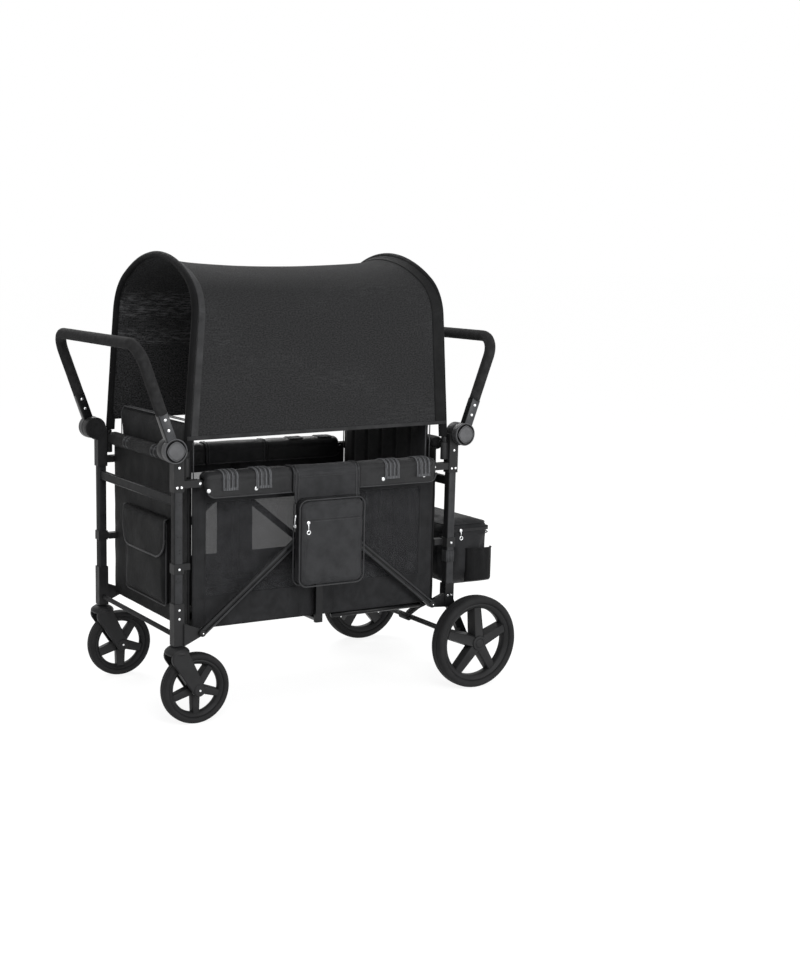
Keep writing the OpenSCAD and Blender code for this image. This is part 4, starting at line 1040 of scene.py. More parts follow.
class Arch:
    """Outline of the canopy's hoops: straight legs, corner arcs and one wide arc over the top."""

    def __init__(self):
        self.rod_r = 0.006
        self.lean = math.radians(4.1)
        self.corner_r = 0.120
        self.foot_x = 0.418
        self.bend_z = 0.7482
        self.edge_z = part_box("canopy_cover")[0].z
        straight_z, top_z = 1.110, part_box("rear_hoop")[1].z - self.rod_r
        self.width = POST_Y
        tall = math.cos(self.lean)
        self.spring = (straight_z - self.bend_z) / tall
        rise = (top_z - straight_z) / tall
        side = self.width - self.corner_r
        self.turn = math.pi / 2 - 2 * math.atan((rise - self.corner_r) / side)
        span = side / math.cos(self.turn)
        self.side, self.top_r, self.drop = side, self.corner_r + span, span * math.sin(self.turn)
        self.start = (self.edge_z - self.bend_z) / tall
        self.lengths = (self.spring - self.start, self.corner_r * self.turn,
                        self.top_r * (math.pi / 2 - self.turn))
        self.half = sum(self.lengths)

    def outline(self, s, lift):
        """(y, height in the hoop's plane, outward y, outward height) at share s from edge to edge."""
        sign = 1 if s >= 0.5 else -1
        along = (1 - abs(2 * s - 1)) * self.half
        leg, corner, _ = self.lengths
        if along <= leg:
            y, h, ny, nh = self.width, self.start + along, 1.0, 0.0
        elif along <= leg + corner:
            a = (along - leg) / self.corner_r
            ny, nh = math.cos(a), math.sin(a)
            y, h = self.side + self.corner_r * ny, self.spring + self.corner_r * nh
        else:
            a = self.turn + (along - leg - corner) / self.top_r
            ny, nh = math.cos(a), math.sin(a)
            y, h = self.top_r * ny, self.spring - self.drop + self.top_r * nh
        return sign * (y + lift * ny), h + lift * nh, sign * ny, nh

    def point(self, s, end, lift, reach=0.0):
        """A point over the hoop at one end; reach is how far outwards along the wagon it lies."""
        y, h, _, _ = self.outline(s, lift)
        x = end * (self.foot_x - h * math.sin(self.lean) + reach)
        return at(x, y, self.bend_z + h * math.cos(self.lean))

    def cloth(self, u, s, lift, sag, over):
        """A point of the cloth at share u from the front hoop to the rear one."""
        front, rear = self.point(s, -1, lift, over), self.point(s, 1, lift, over)
        place = front.lerp(rear, u)
        height = max(0.0, (place.z - self.edge_z) / (CAD_HIGH.z - self.edge_z))
        dip = sag * (0.55 * swell(2 * u - 1, 14) + 0.45 * swell(2 * u - 1, 2))
        hang = 0.008 * (1 - u)
        place.z -= dip * height ** 3 + hang * (1 - height) ** 8
        place.y -= math.copysign(0.010 * swell(2 * u - 1, 2.2) * (1 - height) ** 0.5 * height, place.y)
        ripple = 0.0016 * lump((place.x * 2.2, place.y * 1.2, place.z * 3.5), 2.4, 3.0) * swell(2 * u - 1)
        _, _, ny, nh = self.outline(s, 0)
        return place + Vector((0, ny, nh)) * ripple


def make_canopy():
    """Shade cloth over the hoops, its hems, and the dark sleeves round the hoops."""
    arch = Arch()
    lift, over, sag = arch.rod_r + 0.0018, 0.004, 0.040
    length = 2 * (arch.foot_x - 0.25 * math.sin(arch.lean) + over)
    girth = 2 * arch.half
    bm = begin()
    surface(bm, 72, 150, lambda u, v: arch.cloth(u, v, lift, sag, over), (length, girth))
    cloth = piece("canopy_shade_cloth", bm, "shade_cloth", "rear_canopy", ["canopy_cover"],
                  more=["shade_cloth_inside"])
    add_thickness(cloth, sizes().canopy_t, offset=-1, inside=1)
    cloth.data.materials[1] = finish("shade_cloth_inside")
    pieces = [cloth]
    bm = begin()
    hem = 0.010
    for row in (0, 1):
        def strip(u, v):
            s = v * hem / girth
            return arch.cloth(u, 1 - s if row else s, lift + 0.0013, sag, over)

        surface(bm, 60, 4, strip, (length, hem))
    hems = piece("canopy_hems", bm, "hem_edge", "rear_canopy")
    add_thickness(hems, 0.0014)
    pieces.append(hems)
    # The rear binding is 0.45 times as dark as the canopy: a real binding strip whose darkness is painted
    # shade along the rear edge.
    binding = {"front": (0.007, 0.020, "hem_cloth"), "rear": (0.0, 0.034, "hem_painted_shade")}
    for end, (start, band, material) in binding.items():
        bm = begin()

        def strip(u, v):
            share = (over + start + u * band) / length
            return arch.cloth(share if end == "front" else 1 - share, v, lift + 0.0012, sag, over)

        surface(bm, 6, 150, strip, (band, girth))
        edge = piece(f"canopy_{end}_binding", bm, material, "rear_canopy")
        add_thickness(edge, 0.0012)
        pieces.append(edge)
    for end, sx in ENDS.items():
        bm = begin()
        half_w, half_t = sizes().sleeve_w / 2, arch.rod_r + 0.0030
        below = (arch.edge_z - 0.758) / girth

        def sleeve(u, v):
            a = math.tau * u
            s = v + below * (2 * v - 1)
            leg = max(0.0, min(1.0, (abs(2 * s - 1) - 0.98) / 0.02))
            fold = 1 + 0.05 * lump((v * 9, math.cos(a), math.sin(a)), 1.6, 5.0)
            reach = half_w * (1 + 0.45 * leg) * math.cos(a) * fold - 0.004 * leg
            return arch.point(s, sx, half_t * fold * math.sin(a), reach)

        surface(bm, 28, 150, sleeve, (2 * half_w * math.pi, girth), closed=True)
        fill_holes(bm)
        piece(f"{end}_hoop_sleeve", bm, "sleeve_cloth", f"{end}_canopy")
    for obj in pieces:
        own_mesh(obj)


# Tub


def cut_lines(bm, lines):
    """Cuts a flat mesh along planes at the given (axis, value)."""
    for axis, value in lines:
        normal = Vector((axis == "x", axis == "y", axis == "z"))
        geom = list(bm.verts) + list(bm.edges) + list(bm.faces)
        bmesh.ops.bisect_plane(bm, geom=geom, plane_co=normal * value, plane_no=normal, dist=1e-6)


WALL_WINDOWS = {"front": (-0.352, -0.062), "rear": (0.062, 0.345)}
WINDOW_LOW, WINDOW_HIGH = 0.352, 0.612


def wall_place(x, z, side, end):
    """Outer face of a side wall, with the slack of its cloth."""
    low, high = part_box(f"{end}_walls")
    u = 2 * (x - low.x) / (high.x - low.x) - 1
    v = 2 * (z - low.z) / (high.z - low.z) - 1
    slack = 0.0045 * swell(u) * swell(v) * (0.55 + lump((x, side, z), 5, 2.0))
    crease = 0.0016 * lump((x * 2.5, side, z), 16, 4.0) * swell(u, 8)
    return side * (high.y + slack + crease)


def make_walls():
    """Cloth side walls with net windows and seams, tucked up behind the rail covers."""
    tuck, margin, proud = 0.012, 0.004, 0.0006
    for end, sx in ENDS.items():
        low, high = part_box(f"{end}_walls")
        x0, x1 = (MID_X + x for x in WALL_WINDOWS[end])
        frame_bm, net_bm, pipe_bm = begin(), begin(), begin()
        for side in (-1, 1):
            bm = begin()
            surface(bm, 50, 50, lambda u, v: Vector((low.x + u * (high.x - low.x), 0,
                                                     low.z + v * (high.z + tuck - low.z))))
            cut_lines(bm, [("x", x0), ("x", x1), ("z", WINDOW_LOW), ("z", WINDOW_HIGH)])
            window = [f for f in bm.faces
                      if x0 < f.calc_center_median().x < x1
                      and WINDOW_LOW < f.calc_center_median().z < WINDOW_HIGH]
            for vert in bm.verts:
                vert.co.y = wall_place(vert.co.x, vert.co.z, side, end)
            part = bpy.data.meshes.new("part")
            keep = bm.copy()
            keep.faces.ensure_lookup_table()
            ids = {f.index for f in window}
            bmesh.ops.delete(bm, geom=window, context="FACES")
            bm.to_mesh(part)
            frame_bm.from_mesh(part)
            bmesh.ops.delete(keep, geom=[f for f in keep.faces if f.index not in ids], context="FACES")
            for vert in keep.verts:
                vert.co.y -= side * proud
            keep.to_mesh(part)
            net_bm.from_mesh(part)
            bpy.data.meshes.remove(part)
            keep.free()
            bm.free()
            r = sizes().piping_d / 4
            for z in (WINDOW_LOW - 0.006, low.z + margin):
                tube(pipe_bm, [(x, wall_place(x, z, side, end) + side * proud, z)
                               for x in spread(low.x + margin, high.x - margin, 60)], r)
            for x in (low.x + 0.012, high.x - 0.012, x0 - margin, x1 + margin):
                tube(pipe_bm, [(x, wall_place(x, z, side, end) + side * proud, z)
                               for z in spread(low.z + margin, high.z - margin, 60)], r)
        body = f"{end}_frame"
        wide, tall = high.x - low.x, high.z - low.z
        wall = piece(f"{end}_wall_cloth", frame_bm, "wall_cloth", body, [f"{end}_walls"])
        add_thickness(wall, sizes().cloth_t)
        net = piece(f"{end}_window_net", net_bm, "window_net", body)
        pipes = piece(f"{end}_wall_seams", pipe_bm, "wall_cloth", body)
        for obj in (wall, net, pipes):
            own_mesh(obj)
    low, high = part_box("front_walls")
    half, tall = 0.015, high.z - low.z
    bm = begin()
    for side in (-1, 1):
        surface(bm, 4, 30, lambda u, v: at((2 * u - 1) * half, side * (high.y - 0.003), low.z + v * tall))
    strip = piece("center_wall_cloth", bm, "tub_cloth", "center")
    add_thickness(strip, 0.0014)


def panel_place(y, z, sx, low, high):
    """Outer face of an end panel, with the slack of its cloth."""
    u, v = y / high.y, 2 * (z - low.z) / (high.z - low.z) - 1
    slack = 0.003 * swell(u) * swell(v) * (0.4 + lump((sx, y, z), 6, 7.0))
    return 0.0006 + slack + 0.0012 * lump((sx, y, z), 18, 9.0)


def make_end_panels():
    """End panels with their piping, and the padded rolls with webbing bands."""
    for end, sx in ENDS.items():
        low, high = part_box(f"{end}_panel")
        roll_r = 0.020
        roll_x = MID_X + sx * (POST_X - 0.029)
        roll_z = high.z - roll_r
        face_x = MID_X + sx * (POST_X - 0.044)
        top = roll_z - roll_r * 0.6
        bm = begin()

        def face(y, z, proud=0.0):
            return Vector((face_x + sx * (panel_place(y, z, sx, low, high) + proud), y, z))

        surface(bm, 70, 60, lambda u, v: face(low.y + u * (high.y - low.y), low.z + v * (top - low.z)))
        panel = piece(f"{end}_panel_cloth", bm, "tub_cloth", f"{end}_frame", [f"{end}_panel"])
        add_thickness(panel, 0.005, offset=-1 if sx > 0 else 1)
        bm = begin()
        edge = 0.006
        line = [(low.y + edge, top), (low.y + edge, low.z + edge),
                (high.y - edge, low.z + edge), (high.y - edge, top)]
        tube(bm, [face(y, z, 0.0008) for y, z in loop_path(line, closed=False)], sizes().piping_d / 2)
        hem_z = low.z + 0.045
        tube(bm, [face(y, hem_z, 0.0004) for y in spread(low.y + edge, high.y - edge, 50)],
             sizes().piping_d * 0.35)
        piece(f"{end}_panel_piping", bm, "piping", f"{end}_frame")
        half = high.y - 0.004
        bands, band_r = (-0.085, 0.110), roll_r * 0.97

        def roll(u, v):
            y = -half + 2 * half * u
            a = math.tau * v
            pinch = sum(math.exp(-((y - b) / 0.022) ** 2) for b in bands)
            end_round = swell(y / half, 40) ** 0.5
            r = roll_r * (1.0 - 0.10 * pinch + 0.035 * lump((y * 2, math.cos(a), math.sin(a)), 4, 1.0))
            r = max(0.0009, min(r, roll_r * 1.02) * end_round)
            return Vector((roll_x + r * math.cos(a), y, roll_z + r * math.sin(a)))

        bm = begin()
        surface(bm, 90, 28, roll, closed=True)
        fill_holes(bm)
        obj = piece(f"{end}_padded_roll", bm, "tub_cloth", f"{end}_frame")
        bm = begin()
        for b in bands:
            for offset in (-0.011, 0.011):
                ring = [(roll_x + band_r * math.cos(a), b + offset, roll_z + band_r * math.sin(a))
                        for a in spread(0, math.tau, 28)]
                ribbon(bm, ring, (0, 0.009, 0), 0.0016)
        piece(f"{end}_roll_webbing", bm, "webbing_cross", f"{end}_frame")


# Rail covers


COVER_OUT, COVER_IN, COVER_TOP = 0.3040, 0.2497, 0.6985
COVER_T = 0.0034
COVER_CAP, RAIL_Z = 0.016, 0.670
LOOPS = (-0.302, -0.200, 0.216, 0.322)
STUDS = ((-0.366, 0.650), (-0.222, 0.648), (0.187, 0.648), (0.326, 0.650))


def cover_place(x, v, side, low_out, low_in, swollen=0.0, proud=0.0):
    """A point of the padded cloth over a rail; v runs from the outer hem over the top to the inner hem."""
    half, mid = (COVER_OUT - COVER_IN) / 2, (COVER_OUT + COVER_IN) / 2
    shoulder = COVER_TOP - half * 0.72
    arc = 0.066
    lengths = (shoulder - low_out, arc, shoulder - low_in)
    along = v * sum(lengths)
    if along < lengths[0]:
        y, z, ny, nz = half, low_out + along, 1.0, 0.0
        share = along / lengths[0]
    elif along < lengths[0] + arc:
        a = math.pi * (along - lengths[0]) / arc
        ny, nz = math.cos(a), math.sin(a)
        y = half * math.copysign(abs(ny) ** 0.72, ny)
        z = shoulder + half * 0.72 * nz ** 0.72
        share = 0.5
    else:
        y, z, ny, nz = -half, shoulder - (along - lengths[0] - arc), -1.0, 0.0
        share = 1 - (along - lengths[0] - arc) / lengths[2]
    puff = swollen * (0.35 + 0.65 * swell(2 * share - 1, 3))
    puff += 0.0014 * lump((x * 1.6, y * 8, z * 2), 14, 6.0)
    return at(x, side * (mid + y + ny * (puff + proud)), z + nz * (puff + proud))


def corner_lift(x, end_x, corner):
    """How far the hem rises at a place where its corner is rounded off."""
    inside = max(0.0, corner - abs(x - end_x))
    return corner - math.sqrt(max(0.0, corner ** 2 - inside ** 2))


def cover_strip(bm, x0, x1, side, low_out, low_in, columns, proud=0.0, corner=0.0, swollen=0.003):
    """Padded strip over a rail between two places; corner rounds off the hem at the post's end."""
    def place(u, v):
        x = x0 + (x1 - x0) * u
        lift = corner_lift(x, x1, corner)
        edge = swell(2 * u - 1, 14)
        point = cover_place(x, v, side, low_out + lift, low_in + 0.5 * lift, swollen * edge, proud)
        if corner:
            bare = 1 - min(1.0, abs(x - x1) / COVER_CAP)
            rail = at(x, side * (COVER_OUT + COVER_IN) / 2, RAIL_Z)
            point = rail.lerp(point, 0.5 + 0.5 * math.sqrt(1 - bare ** 2))
        return point

    surface(bm, columns, 46, place)


def hem_line(x0, x1, side, v, low_out, low_in, proud=0.0022, count=40, corner=0.0):
    """Points along a hem of a rail cover."""
    line = []
    for x in spread(x0, x1, count):
        lift = corner_lift(x, x1, corner)
        line.append(cover_place(x, v, side, low_out + lift, low_in + 0.5 * lift, 0.0, proud - COVER_T / 2))
    return line


def stud(bm, place, axis, radius=0.0062):
    """Domed snap stud."""
    spun(bm, [(radius, -0.002), (radius, 0.0)] + dome(radius, radius * 0.45, 0.0, 5), place, axis, steps=24)


def make_rail_covers():
    """Padded cloth over the side rails, with webbing loops, studs and piping, and the straps between."""
    low_out, low_in = 0.631, 0.636
    for end, sx in ENDS.items():
        body = f"{end}_rails"
        cloth, pipes, loops, backs, studs = begin(), begin(), begin(), begin(), begin()
        for side in (-1, 1):
            x0, x1 = sx * 0.109, sx * 0.374
            cover_strip(cloth, x0, x1, side, low_out, low_in, 60, corner=0.026)
            for v in (0.006, 0.994):
                tube(pipes, hem_line(x0, x1 - sx * 0.002, side, v, low_out, low_in, corner=0.026),
                     sizes().piping_d / 2)
            for x in (x for x in LOOPS if x * sx > 0):
                wide = sizes().webbing_w

                def band(into, share, half, start, stop, proud):
                    path = [cover_place(x + wide * share, v, side, low_out, low_in, 0.003, proud)
                            for v in spread(start, stop, 20)]
                    ribbon(into, path, (half * wide, 0, 0), 0.0022)

                band(backs, 0.0, 0.5, 0.12, 0.60, 0.0012)
                for share in (-0.42, -0.14, 0.14, 0.42):
                    band(loops, share, 0.07, 0.14, 0.58, 0.0030)
                for start in (0.12, 0.55):
                    band(loops, 0.0, 0.5, start, start + 0.05, 0.0034)
            for x, z in ((x, z) for x, z in STUDS if x * sx > 0):
                stud(studs, at(x, side * (COVER_OUT + 0.0022), z + 0.002), (0, side, 0))
        cover = piece(f"{end}_rail_padding", cloth, "tub_leatherette", body,
                      [f"{end}_rail_covers"])
        add_thickness(cover, COVER_T, offset=-1)
        settle(cover)
        piece(f"{end}_rail_piping", pipes, "piping", body)
        piece(f"{end}_rail_loops", loops, "webbing", body)
        piece(f"{end}_rail_loop_backs", backs, "piping", body)
        piece(f"{end}_rail_studs", studs, "bright_metal", body)
    cloth, pipes = begin(), begin()
    for side in (-1, 1):
        cover_strip(cloth, -0.107, 0.107, side, low_out, low_in, 44, proud=0.0014, swollen=0.002)
        for x in (-0.105, -0.096, 0.096, 0.105):
            line = [cover_place(x, v, side, low_out, low_in, 0.002, 0.0018)
                    for v in spread(0.004, 0.996, 60)]
            tube(pipes, line, sizes().piping_d * 0.42)
        for v in (0.006, 0.994):
            tube(pipes, hem_line(-0.106, 0.106, side, v, low_out, low_in, 0.0036), sizes().piping_d / 2)
        fold = [cover_place(x, 0.30, side, low_out, low_in, 0.002, 0.0016)
                for x in spread(-0.094, 0.094, 30)]
        tube(pipes, fold, sizes().piping_d * 0.25)
    strap = piece("center_strap_padding", cloth, "pocket_cloth", "center", ["center_straps"])
    add_thickness(strap, COVER_T, offset=-1)
    settle(strap)
    trim = piece("center_strap_piping", pipes, "piping", "center")
    for obj in (strap, trim):
        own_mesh(obj)


# Padded pieces and bags


def cushion(name, low, high, radius, material, body, replaces=(), voxel=0.006, cap=0.006,
            press=None):
    """A blown-up padded block, with stitched lines pressed in by press(point)."""
    bm = begin()
    block(bm, low, high, radius, 4)
    obj = piece(name, bm, material, body, replaces)
    inflate(obj, cap, voxel)
    if press:
        shape_points(obj, press)
    add_smoothing(obj)
    return obj


def trench(distance, depth, width):
    """Depth of a sewn groove at a distance from its middle."""
    return depth * math.exp(-(distance / width) ** 2)


def loop_path(points, step=0.01, closed=True):
    """A path of (a, b) pairs, filled in with points about a step apart."""
    filled = []
    for (a, b), (c, d) in zip(points, points[1:] + points[:1] if closed else points[1:]):
        count = max(1, round(math.hypot(c - a, d - b) / step))
        filled += [(a + (c - a) * k / count, b + (d - b) * k / count) for k in range(count)]
    return filled if closed else filled + [points[-1]]


def make_seats():
    """Seat backs with pleats and double piping, and the seat pads."""
    for end, sx in ENDS.items():
        low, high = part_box(f"{end}_seat_back")
        outer = (high if sx > 0 else low).x
        thick, corner_r, pleats = 0.015, 0.030, (-0.16, -0.08, 0.0, 0.08, 0.16)
        inner = outer - sx * thick

        def press(point):
            if (point.x - inner) * sx > 0.004:
                return Vector((0, 0, 0))
            depth = sum(trench(point.y - y, 0.0045, 0.006) for y in pleats)
            edge = min(high.z - point.z, point.z - low.z, high.y - abs(point.y))
            return Vector((sx * depth * min(1, max(0.0, edge / 0.03)), 0, 0))

        box_low = Vector((min(inner, outer), low.y + 0.002, low.z))
        box_high = Vector((max(inner, outer), high.y - 0.002, high.z - 0.002))
        back = cushion(f"{end}_seat_back_padding", box_low, box_high, 0.006, "seat_cloth", f"{end}_frame",
                       [f"{end}_seat_back"], voxel=0.0055, cap=0.007, press=press)
        bm = begin()
        mid_z = (low.z + high.z) / 2
        for x in (inner, outer - sx * 0.001):
            path = loop_path(rounded_path(high.y - low.y - 0.004, high.z - low.z - 0.004, corner_r))
            tube(bm, [(x, y, mid_z + z) for y, z in path], sizes().piping_d * 0.4, closed=True)
        trim = piece(f"{end}_seat_back_piping", bm, "piping_grey", f"{end}_frame")
        for obj in (back, trim):
            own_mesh(obj)
        low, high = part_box(f"{end}_seat_pad")
        pad_low, pad_high = low + Vector((0, 0, 0.0006)), Vector((high.x, high.y, high.z - 0.008))
        middle = (low.x + high.x) / 2

        def stitch(point):
            if point.z < pad_high.z - 0.006:
                return Vector((0, 0, 0))
            rows = trench(point.x - middle, 0.006, 0.008)
            rows += sum(trench(point.y - y, 0.005, 0.008) for y in (-0.08, 0.08))
            return Vector((0, 0, -min(0.008, rows)))

        pad = cushion(f"{end}_seat_pad_padding", pad_low, pad_high, 0.007, "tub_cloth", f"{end}_floor",
                      [f"{end}_seat_pad"], voxel=0.006, cap=0.007, press=stitch)
        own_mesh(pad)


def zip_pull(bm, top, down, side, size):
    """Silver slider with a long puller that ends in a ring."""
    axis = Vector(side)
    top, down = Vector(top), Vector(down).normalized()
    across = axis.cross(down)
    spun(bm, [(0.0, 0.0022), (0.0042, 0.0022), (0.0056, 0.0008), (0.0056, -0.001)], top, axis, steps=20)
    tube(bm, [top, top + down * size], 0.0018)
    ring_r = 0.0052
    ring = [top + down * (size + ring_r) + (down * math.cos(a) + across * math.sin(a)) * ring_r
            for a in turns(24)]
    tube(bm, ring, 0.0017, closed=True)


def zip_line(bm, points, across, width=0.009):
    """A strip of zip whose map runs along it."""
    layer = bm.loops.layers.uv.verify()
    across = [Vector(a) for a in across]
    travelled, last, rows = 0.0, None, []
    for point, half in zip(points, across):
        point = Vector(point)
        if last is not None:
            travelled += (point - last).length
        last = point
        half = half * width / 2
        rows.append((bm.verts.new(point - half), bm.verts.new(point + half), travelled))
    for (a, b, s), (c, d, t) in zip(rows, rows[1:]):
        face = bm.faces.new((a, b, d, c))
        for loop, uv in zip(face.loops, ((s, 0), (s, width), (t, width), (t, 0))):
            loop[layer].uv = uv


def make_side_pocket():
    """Zipped pocket hung on the left rail: flap, body, gusset piping, zip and pulls."""
    low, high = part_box("side_pocket")
    back, face = -0.3046, low.y + 0.002
    x0, x1, z0, z1 = low.x + 0.004, high.x - 0.004, low.z + 0.003, 0.612
    mid_x, mid_z, wide, tall = (x0 + x1) / 2, (z0 + z1) / 2, x1 - x0, z1 - z0
    corner_r, pull_len, seam_z = 0.024, 0.022, 0.556
    outline = rounded_path(wide, tall, corner_r, 8)
    bm = begin()
    ring = [bm.verts.new((mid_x + x, back, mid_z + z)) for x, z in outline]
    body_face = bm.faces.new(ring)
    grown = bmesh.ops.extrude_face_region(bm, geom=[body_face])["geom"]
    bmesh.ops.translate(bm, verts=verts_in(grown), vec=(0, face - back, 0))
    pocket = piece("side_pocket_body", bm, "pocket_cloth", "center", ["side_pocket"])
    inflate(pocket, 0.0045, 0.0045)

    def press(point):
        seam = trench(point.z - seam_z, 0.0016, 0.0025) if point.y < face + 0.012 else 0.0
        return Vector((0, seam + min(0.0, back - point.y), 0))

    shape_points(pocket, press)
    add_smoothing(pocket)
    pipes = begin()
    for y, grow in ((face + 0.001, 0.0), (back - 0.003, 0.002)):
        path = loop_path(rounded_path(wide + grow, tall + grow, corner_r, 8))
        tube(pipes, [(mid_x + x, y, mid_z + z) for x, z in path], sizes().piping_d * 0.5, closed=True)
    for z in (seam_z - 0.0035, seam_z + 0.0035):
        tube(pipes, [(x, face - 0.0036, z) for x in spread(x0 + 0.012, x1 - 0.012, 30)], 0.0006)
    piece("side_pocket_piping", pipes, "piping", "center")
    bm = begin()
    middle = (face + back) / 2
    track = [p for p in loop_path(outline, 0.006) if p[1] > -0.05]
    track.sort(key=lambda p: math.atan2(p[0], p[1] + 0.2))
    zip_line(bm, [(mid_x + x * 1.012, middle, mid_z + z * 1.012 + 0.003) for x, z in track],
             [(0, 1, 0)] * len(track))
    piece("side_pocket_zip", bm, "zip_coil", "center")
    bm = begin()
    zip_pull(bm, at(-0.080, face - 0.0048, 0.550), (0.04, 0, -1), (0, -1, 0), pull_len)
    zip_pull(bm, Vector((x0 - 0.0055, middle, 0.566)), (0, 0, -1), (-1, 0, 0), pull_len)
    piece("side_pocket_pulls", bm, "bright_metal", "center")
    bm = begin()
    flap_low, flap_high = 0.600, high.z + 0.003

    def flap(u, v):
        x = x0 + wide * u
        z = flap_low + (flap_high - flap_low) * v
        out = 0.0022 + 0.0016 * swell(2 * u - 1) * swell(2 * v - 1) + 0.0012 * lump((x, 0, z), 20, 8.0)
        out += 0.006 * max(0.0, 1 - v / 0.25) ** 2
        return Vector((x, -COVER_OUT - 0.003 - out + 0.010 * max(0.0, (v - 0.86) / 0.14) ** 2, z))

    surface(bm, 40, 24, flap)
    cloth = piece("side_pocket_flap", bm, "pocket_cloth", "center")
    add_thickness(cloth, sizes().cloth_t)
    pipes = begin()
    for u in (0.012, 0.055, 0.945, 0.988):
        tube(pipes, [flap(u, i / 24) - Vector((0, 0.0016, 0)) for i in range(25)], sizes().piping_d * 0.38)
    tube(pipes, [flap(i / 30, 0.80) - Vector((0, 0.0014, 0)) for i in range(2, 29)], 0.0008)
    piece("side_pocket_flap_piping", pipes, "piping", "center")


def make_front_pocket():
    """Pocket on the front panel with a curved flap."""
    low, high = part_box("front_pocket")
    face, back = low.x + 0.003, high.x
    cushion("front_pocket_body", (face + 0.001, low.y + 0.003, low.z + 0.003),
            (back, high.y - 0.003, high.z - 0.004), 0.008, "tub_cloth", "front_frame",
            ["front_pocket"], voxel=0.005, cap=0.005)
    half, top, corner = high.y + 0.002, high.z + 0.004, 0.055
    mouth = 0.440

    def flap(u, v):
        y = -half + 2 * half * u
        z = top + (mouth + corner_lift(abs(y), half, corner) - top) * v
        out = 0.0045 * swell(2 * u - 1, 8) * min(1.0, v * 5) + 0.0012 * lump((0, y, z), 22, 3.0)
        return Vector((face - 0.0024 - out + 0.012 * max(0.0, 1 - v * 9) ** 2, y, z))

    bm = begin()
    surface(bm, 48, 24, flap)
    cloth = piece("front_pocket_flap", bm, "tub_cloth", "front_frame")
    add_thickness(cloth, sizes().cloth_t)
    pipes = begin()
    tube(pipes, [flap(i / 60, 1.0) - Vector((0.0008, 0, 0)) for i in range(61)], sizes().piping_d * 0.7)
    for u in (0.006, 0.994):
        tube(pipes, [flap(u, i / 20) - Vector((0.0008, 0, 0)) for i in range(21)], sizes().piping_d / 2)
    mid_z, tall = (low.z + high.z) / 2, high.z - low.z - 0.008
    path = loop_path(rounded_path(high.y - low.y - 0.008, tall, 0.014))
    tube(pipes, [(face + 0.004, y, mid_z + z) for y, z in path], sizes().piping_d * 0.45, closed=True)
    piece("front_pocket_piping", pipes, "piping", "front_frame")


def make_rear_bag():
    """Zipped cool bag on the rear posts: body, piping, zip with its pull, cup pockets and straps."""
    low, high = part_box("rear_bag")
    x0, x1 = MID_X + 0.4600, high.x
    half, corner_r = 0.231, 0.030
    z0, z1 = low.z + 0.024, high.z - 0.002
    cushion("rear_bag_body", (x0 + 0.002, -half, z0), (x1 - 0.003, half, z1), 0.026, "wall_cloth",
            "rear_frame", ["rear_bag"], voxel=0.0065, cap=0.005)
    mid_x, deep = (x0 + x1) / 2, x1 - x0 - 0.003
    pipes = begin()
    for z, grow in ((z1 - 0.009, -0.012), (z1 - 0.040, 0.003)):
        path = loop_path(rounded_path(deep + grow, 2 * half + grow, corner_r))
        tube(pipes, [(mid_x + x, y, z) for x, y in path], sizes().piping_d * 0.4, closed=True)
    piece("rear_bag_piping", pipes, "wall_cloth", "rear_frame")
    bm = begin()
    zip_z = z1 - 0.026
    path = loop_path(rounded_path(deep + 0.006, 2 * half + 0.006, corner_r), 0.006)
    path.append(path[0])
    zip_line(bm, [(mid_x + x, y, zip_z) for x, y in path], [(0, 0, 1)] * len(path))
    piece("rear_bag_zip", bm, "zip_coil", "rear_frame")
    bm = begin()
    zip_pull(bm, at(0.513, -half - 0.0055, zip_z), (0.1, 0, -1), (0, -1, 0), 0.018)
    piece("rear_bag_pull", bm, "bright_metal", "rear_frame")
    cups, pipes = begin(), begin()
    cup_x, cup_w, cup_low, cup_high = MID_X + 0.580, 0.092, 0.302, 0.404
    for side in (-1, 1):
        def cup(u, v):
            a = math.pi * u
            z = cup_low + (cup_high - cup_low) * v
            mouth = 1.0 - 0.16 * v ** 6
            pleat = 0.0016 * math.sin(9 * a) * v ** 2
            out = (0.021 * mouth * math.sin(a) ** 0.7 + pleat * math.sin(a)) * min(1.0, v * 9 + 0.35)
            return Vector((cup_x - cup_w / 2 * math.cos(a), side * (half + 0.0015 + out), z))

        surface(cups, 44, 26, cup)
        tube(pipes, [cup(i / 40, 1.0) for i in range(41)], sizes().piping_d * 0.6)
    holder = piece("rear_bag_cups", cups, "tub_cloth", "rear_frame")
    add_thickness(holder, 0.0016)
    piece("rear_bag_cup_hems", pipes, "tub_cloth", "rear_frame")
    bm = begin()
    post_x = MID_X + POST_X
    reach, strap_z, strap_half, strap_t = POST_W / 2 + 0.0022, 0.399, (0, 0, 0.017), 0.0018
    for side in (-1, 1):
        y = side * POST_Y
        path = [(post_x + a, y + side * b) for a, b in rounded_path(2 * reach, 2 * reach, 0.006, 4)]
        path.append(path[0])
        ribbon(bm, [(a, b, strap_z) for a, b in path], strap_half, strap_t)
        ribbon(bm, [(post_x + reach, y - side * 0.012, strap_z), (x0 + 0.004, y - side * 0.040, strap_z)],
               strap_half, strap_t)
    piece("rear_bag_straps", bm, "webbing_cross", "rear_frame")


# Stage


CAMERA_LENS, CAMERA_SHIFT, CAMERA_ROLL = 55.66, (0.1289, 0.0211), 0.637
CAMERA_PLACE, CAMERA_FORWARD = (-2.1205, -3.9048, 1.2994), (0.47010, 0.86589, -0.17102)
FLOOR_SIZE = 60


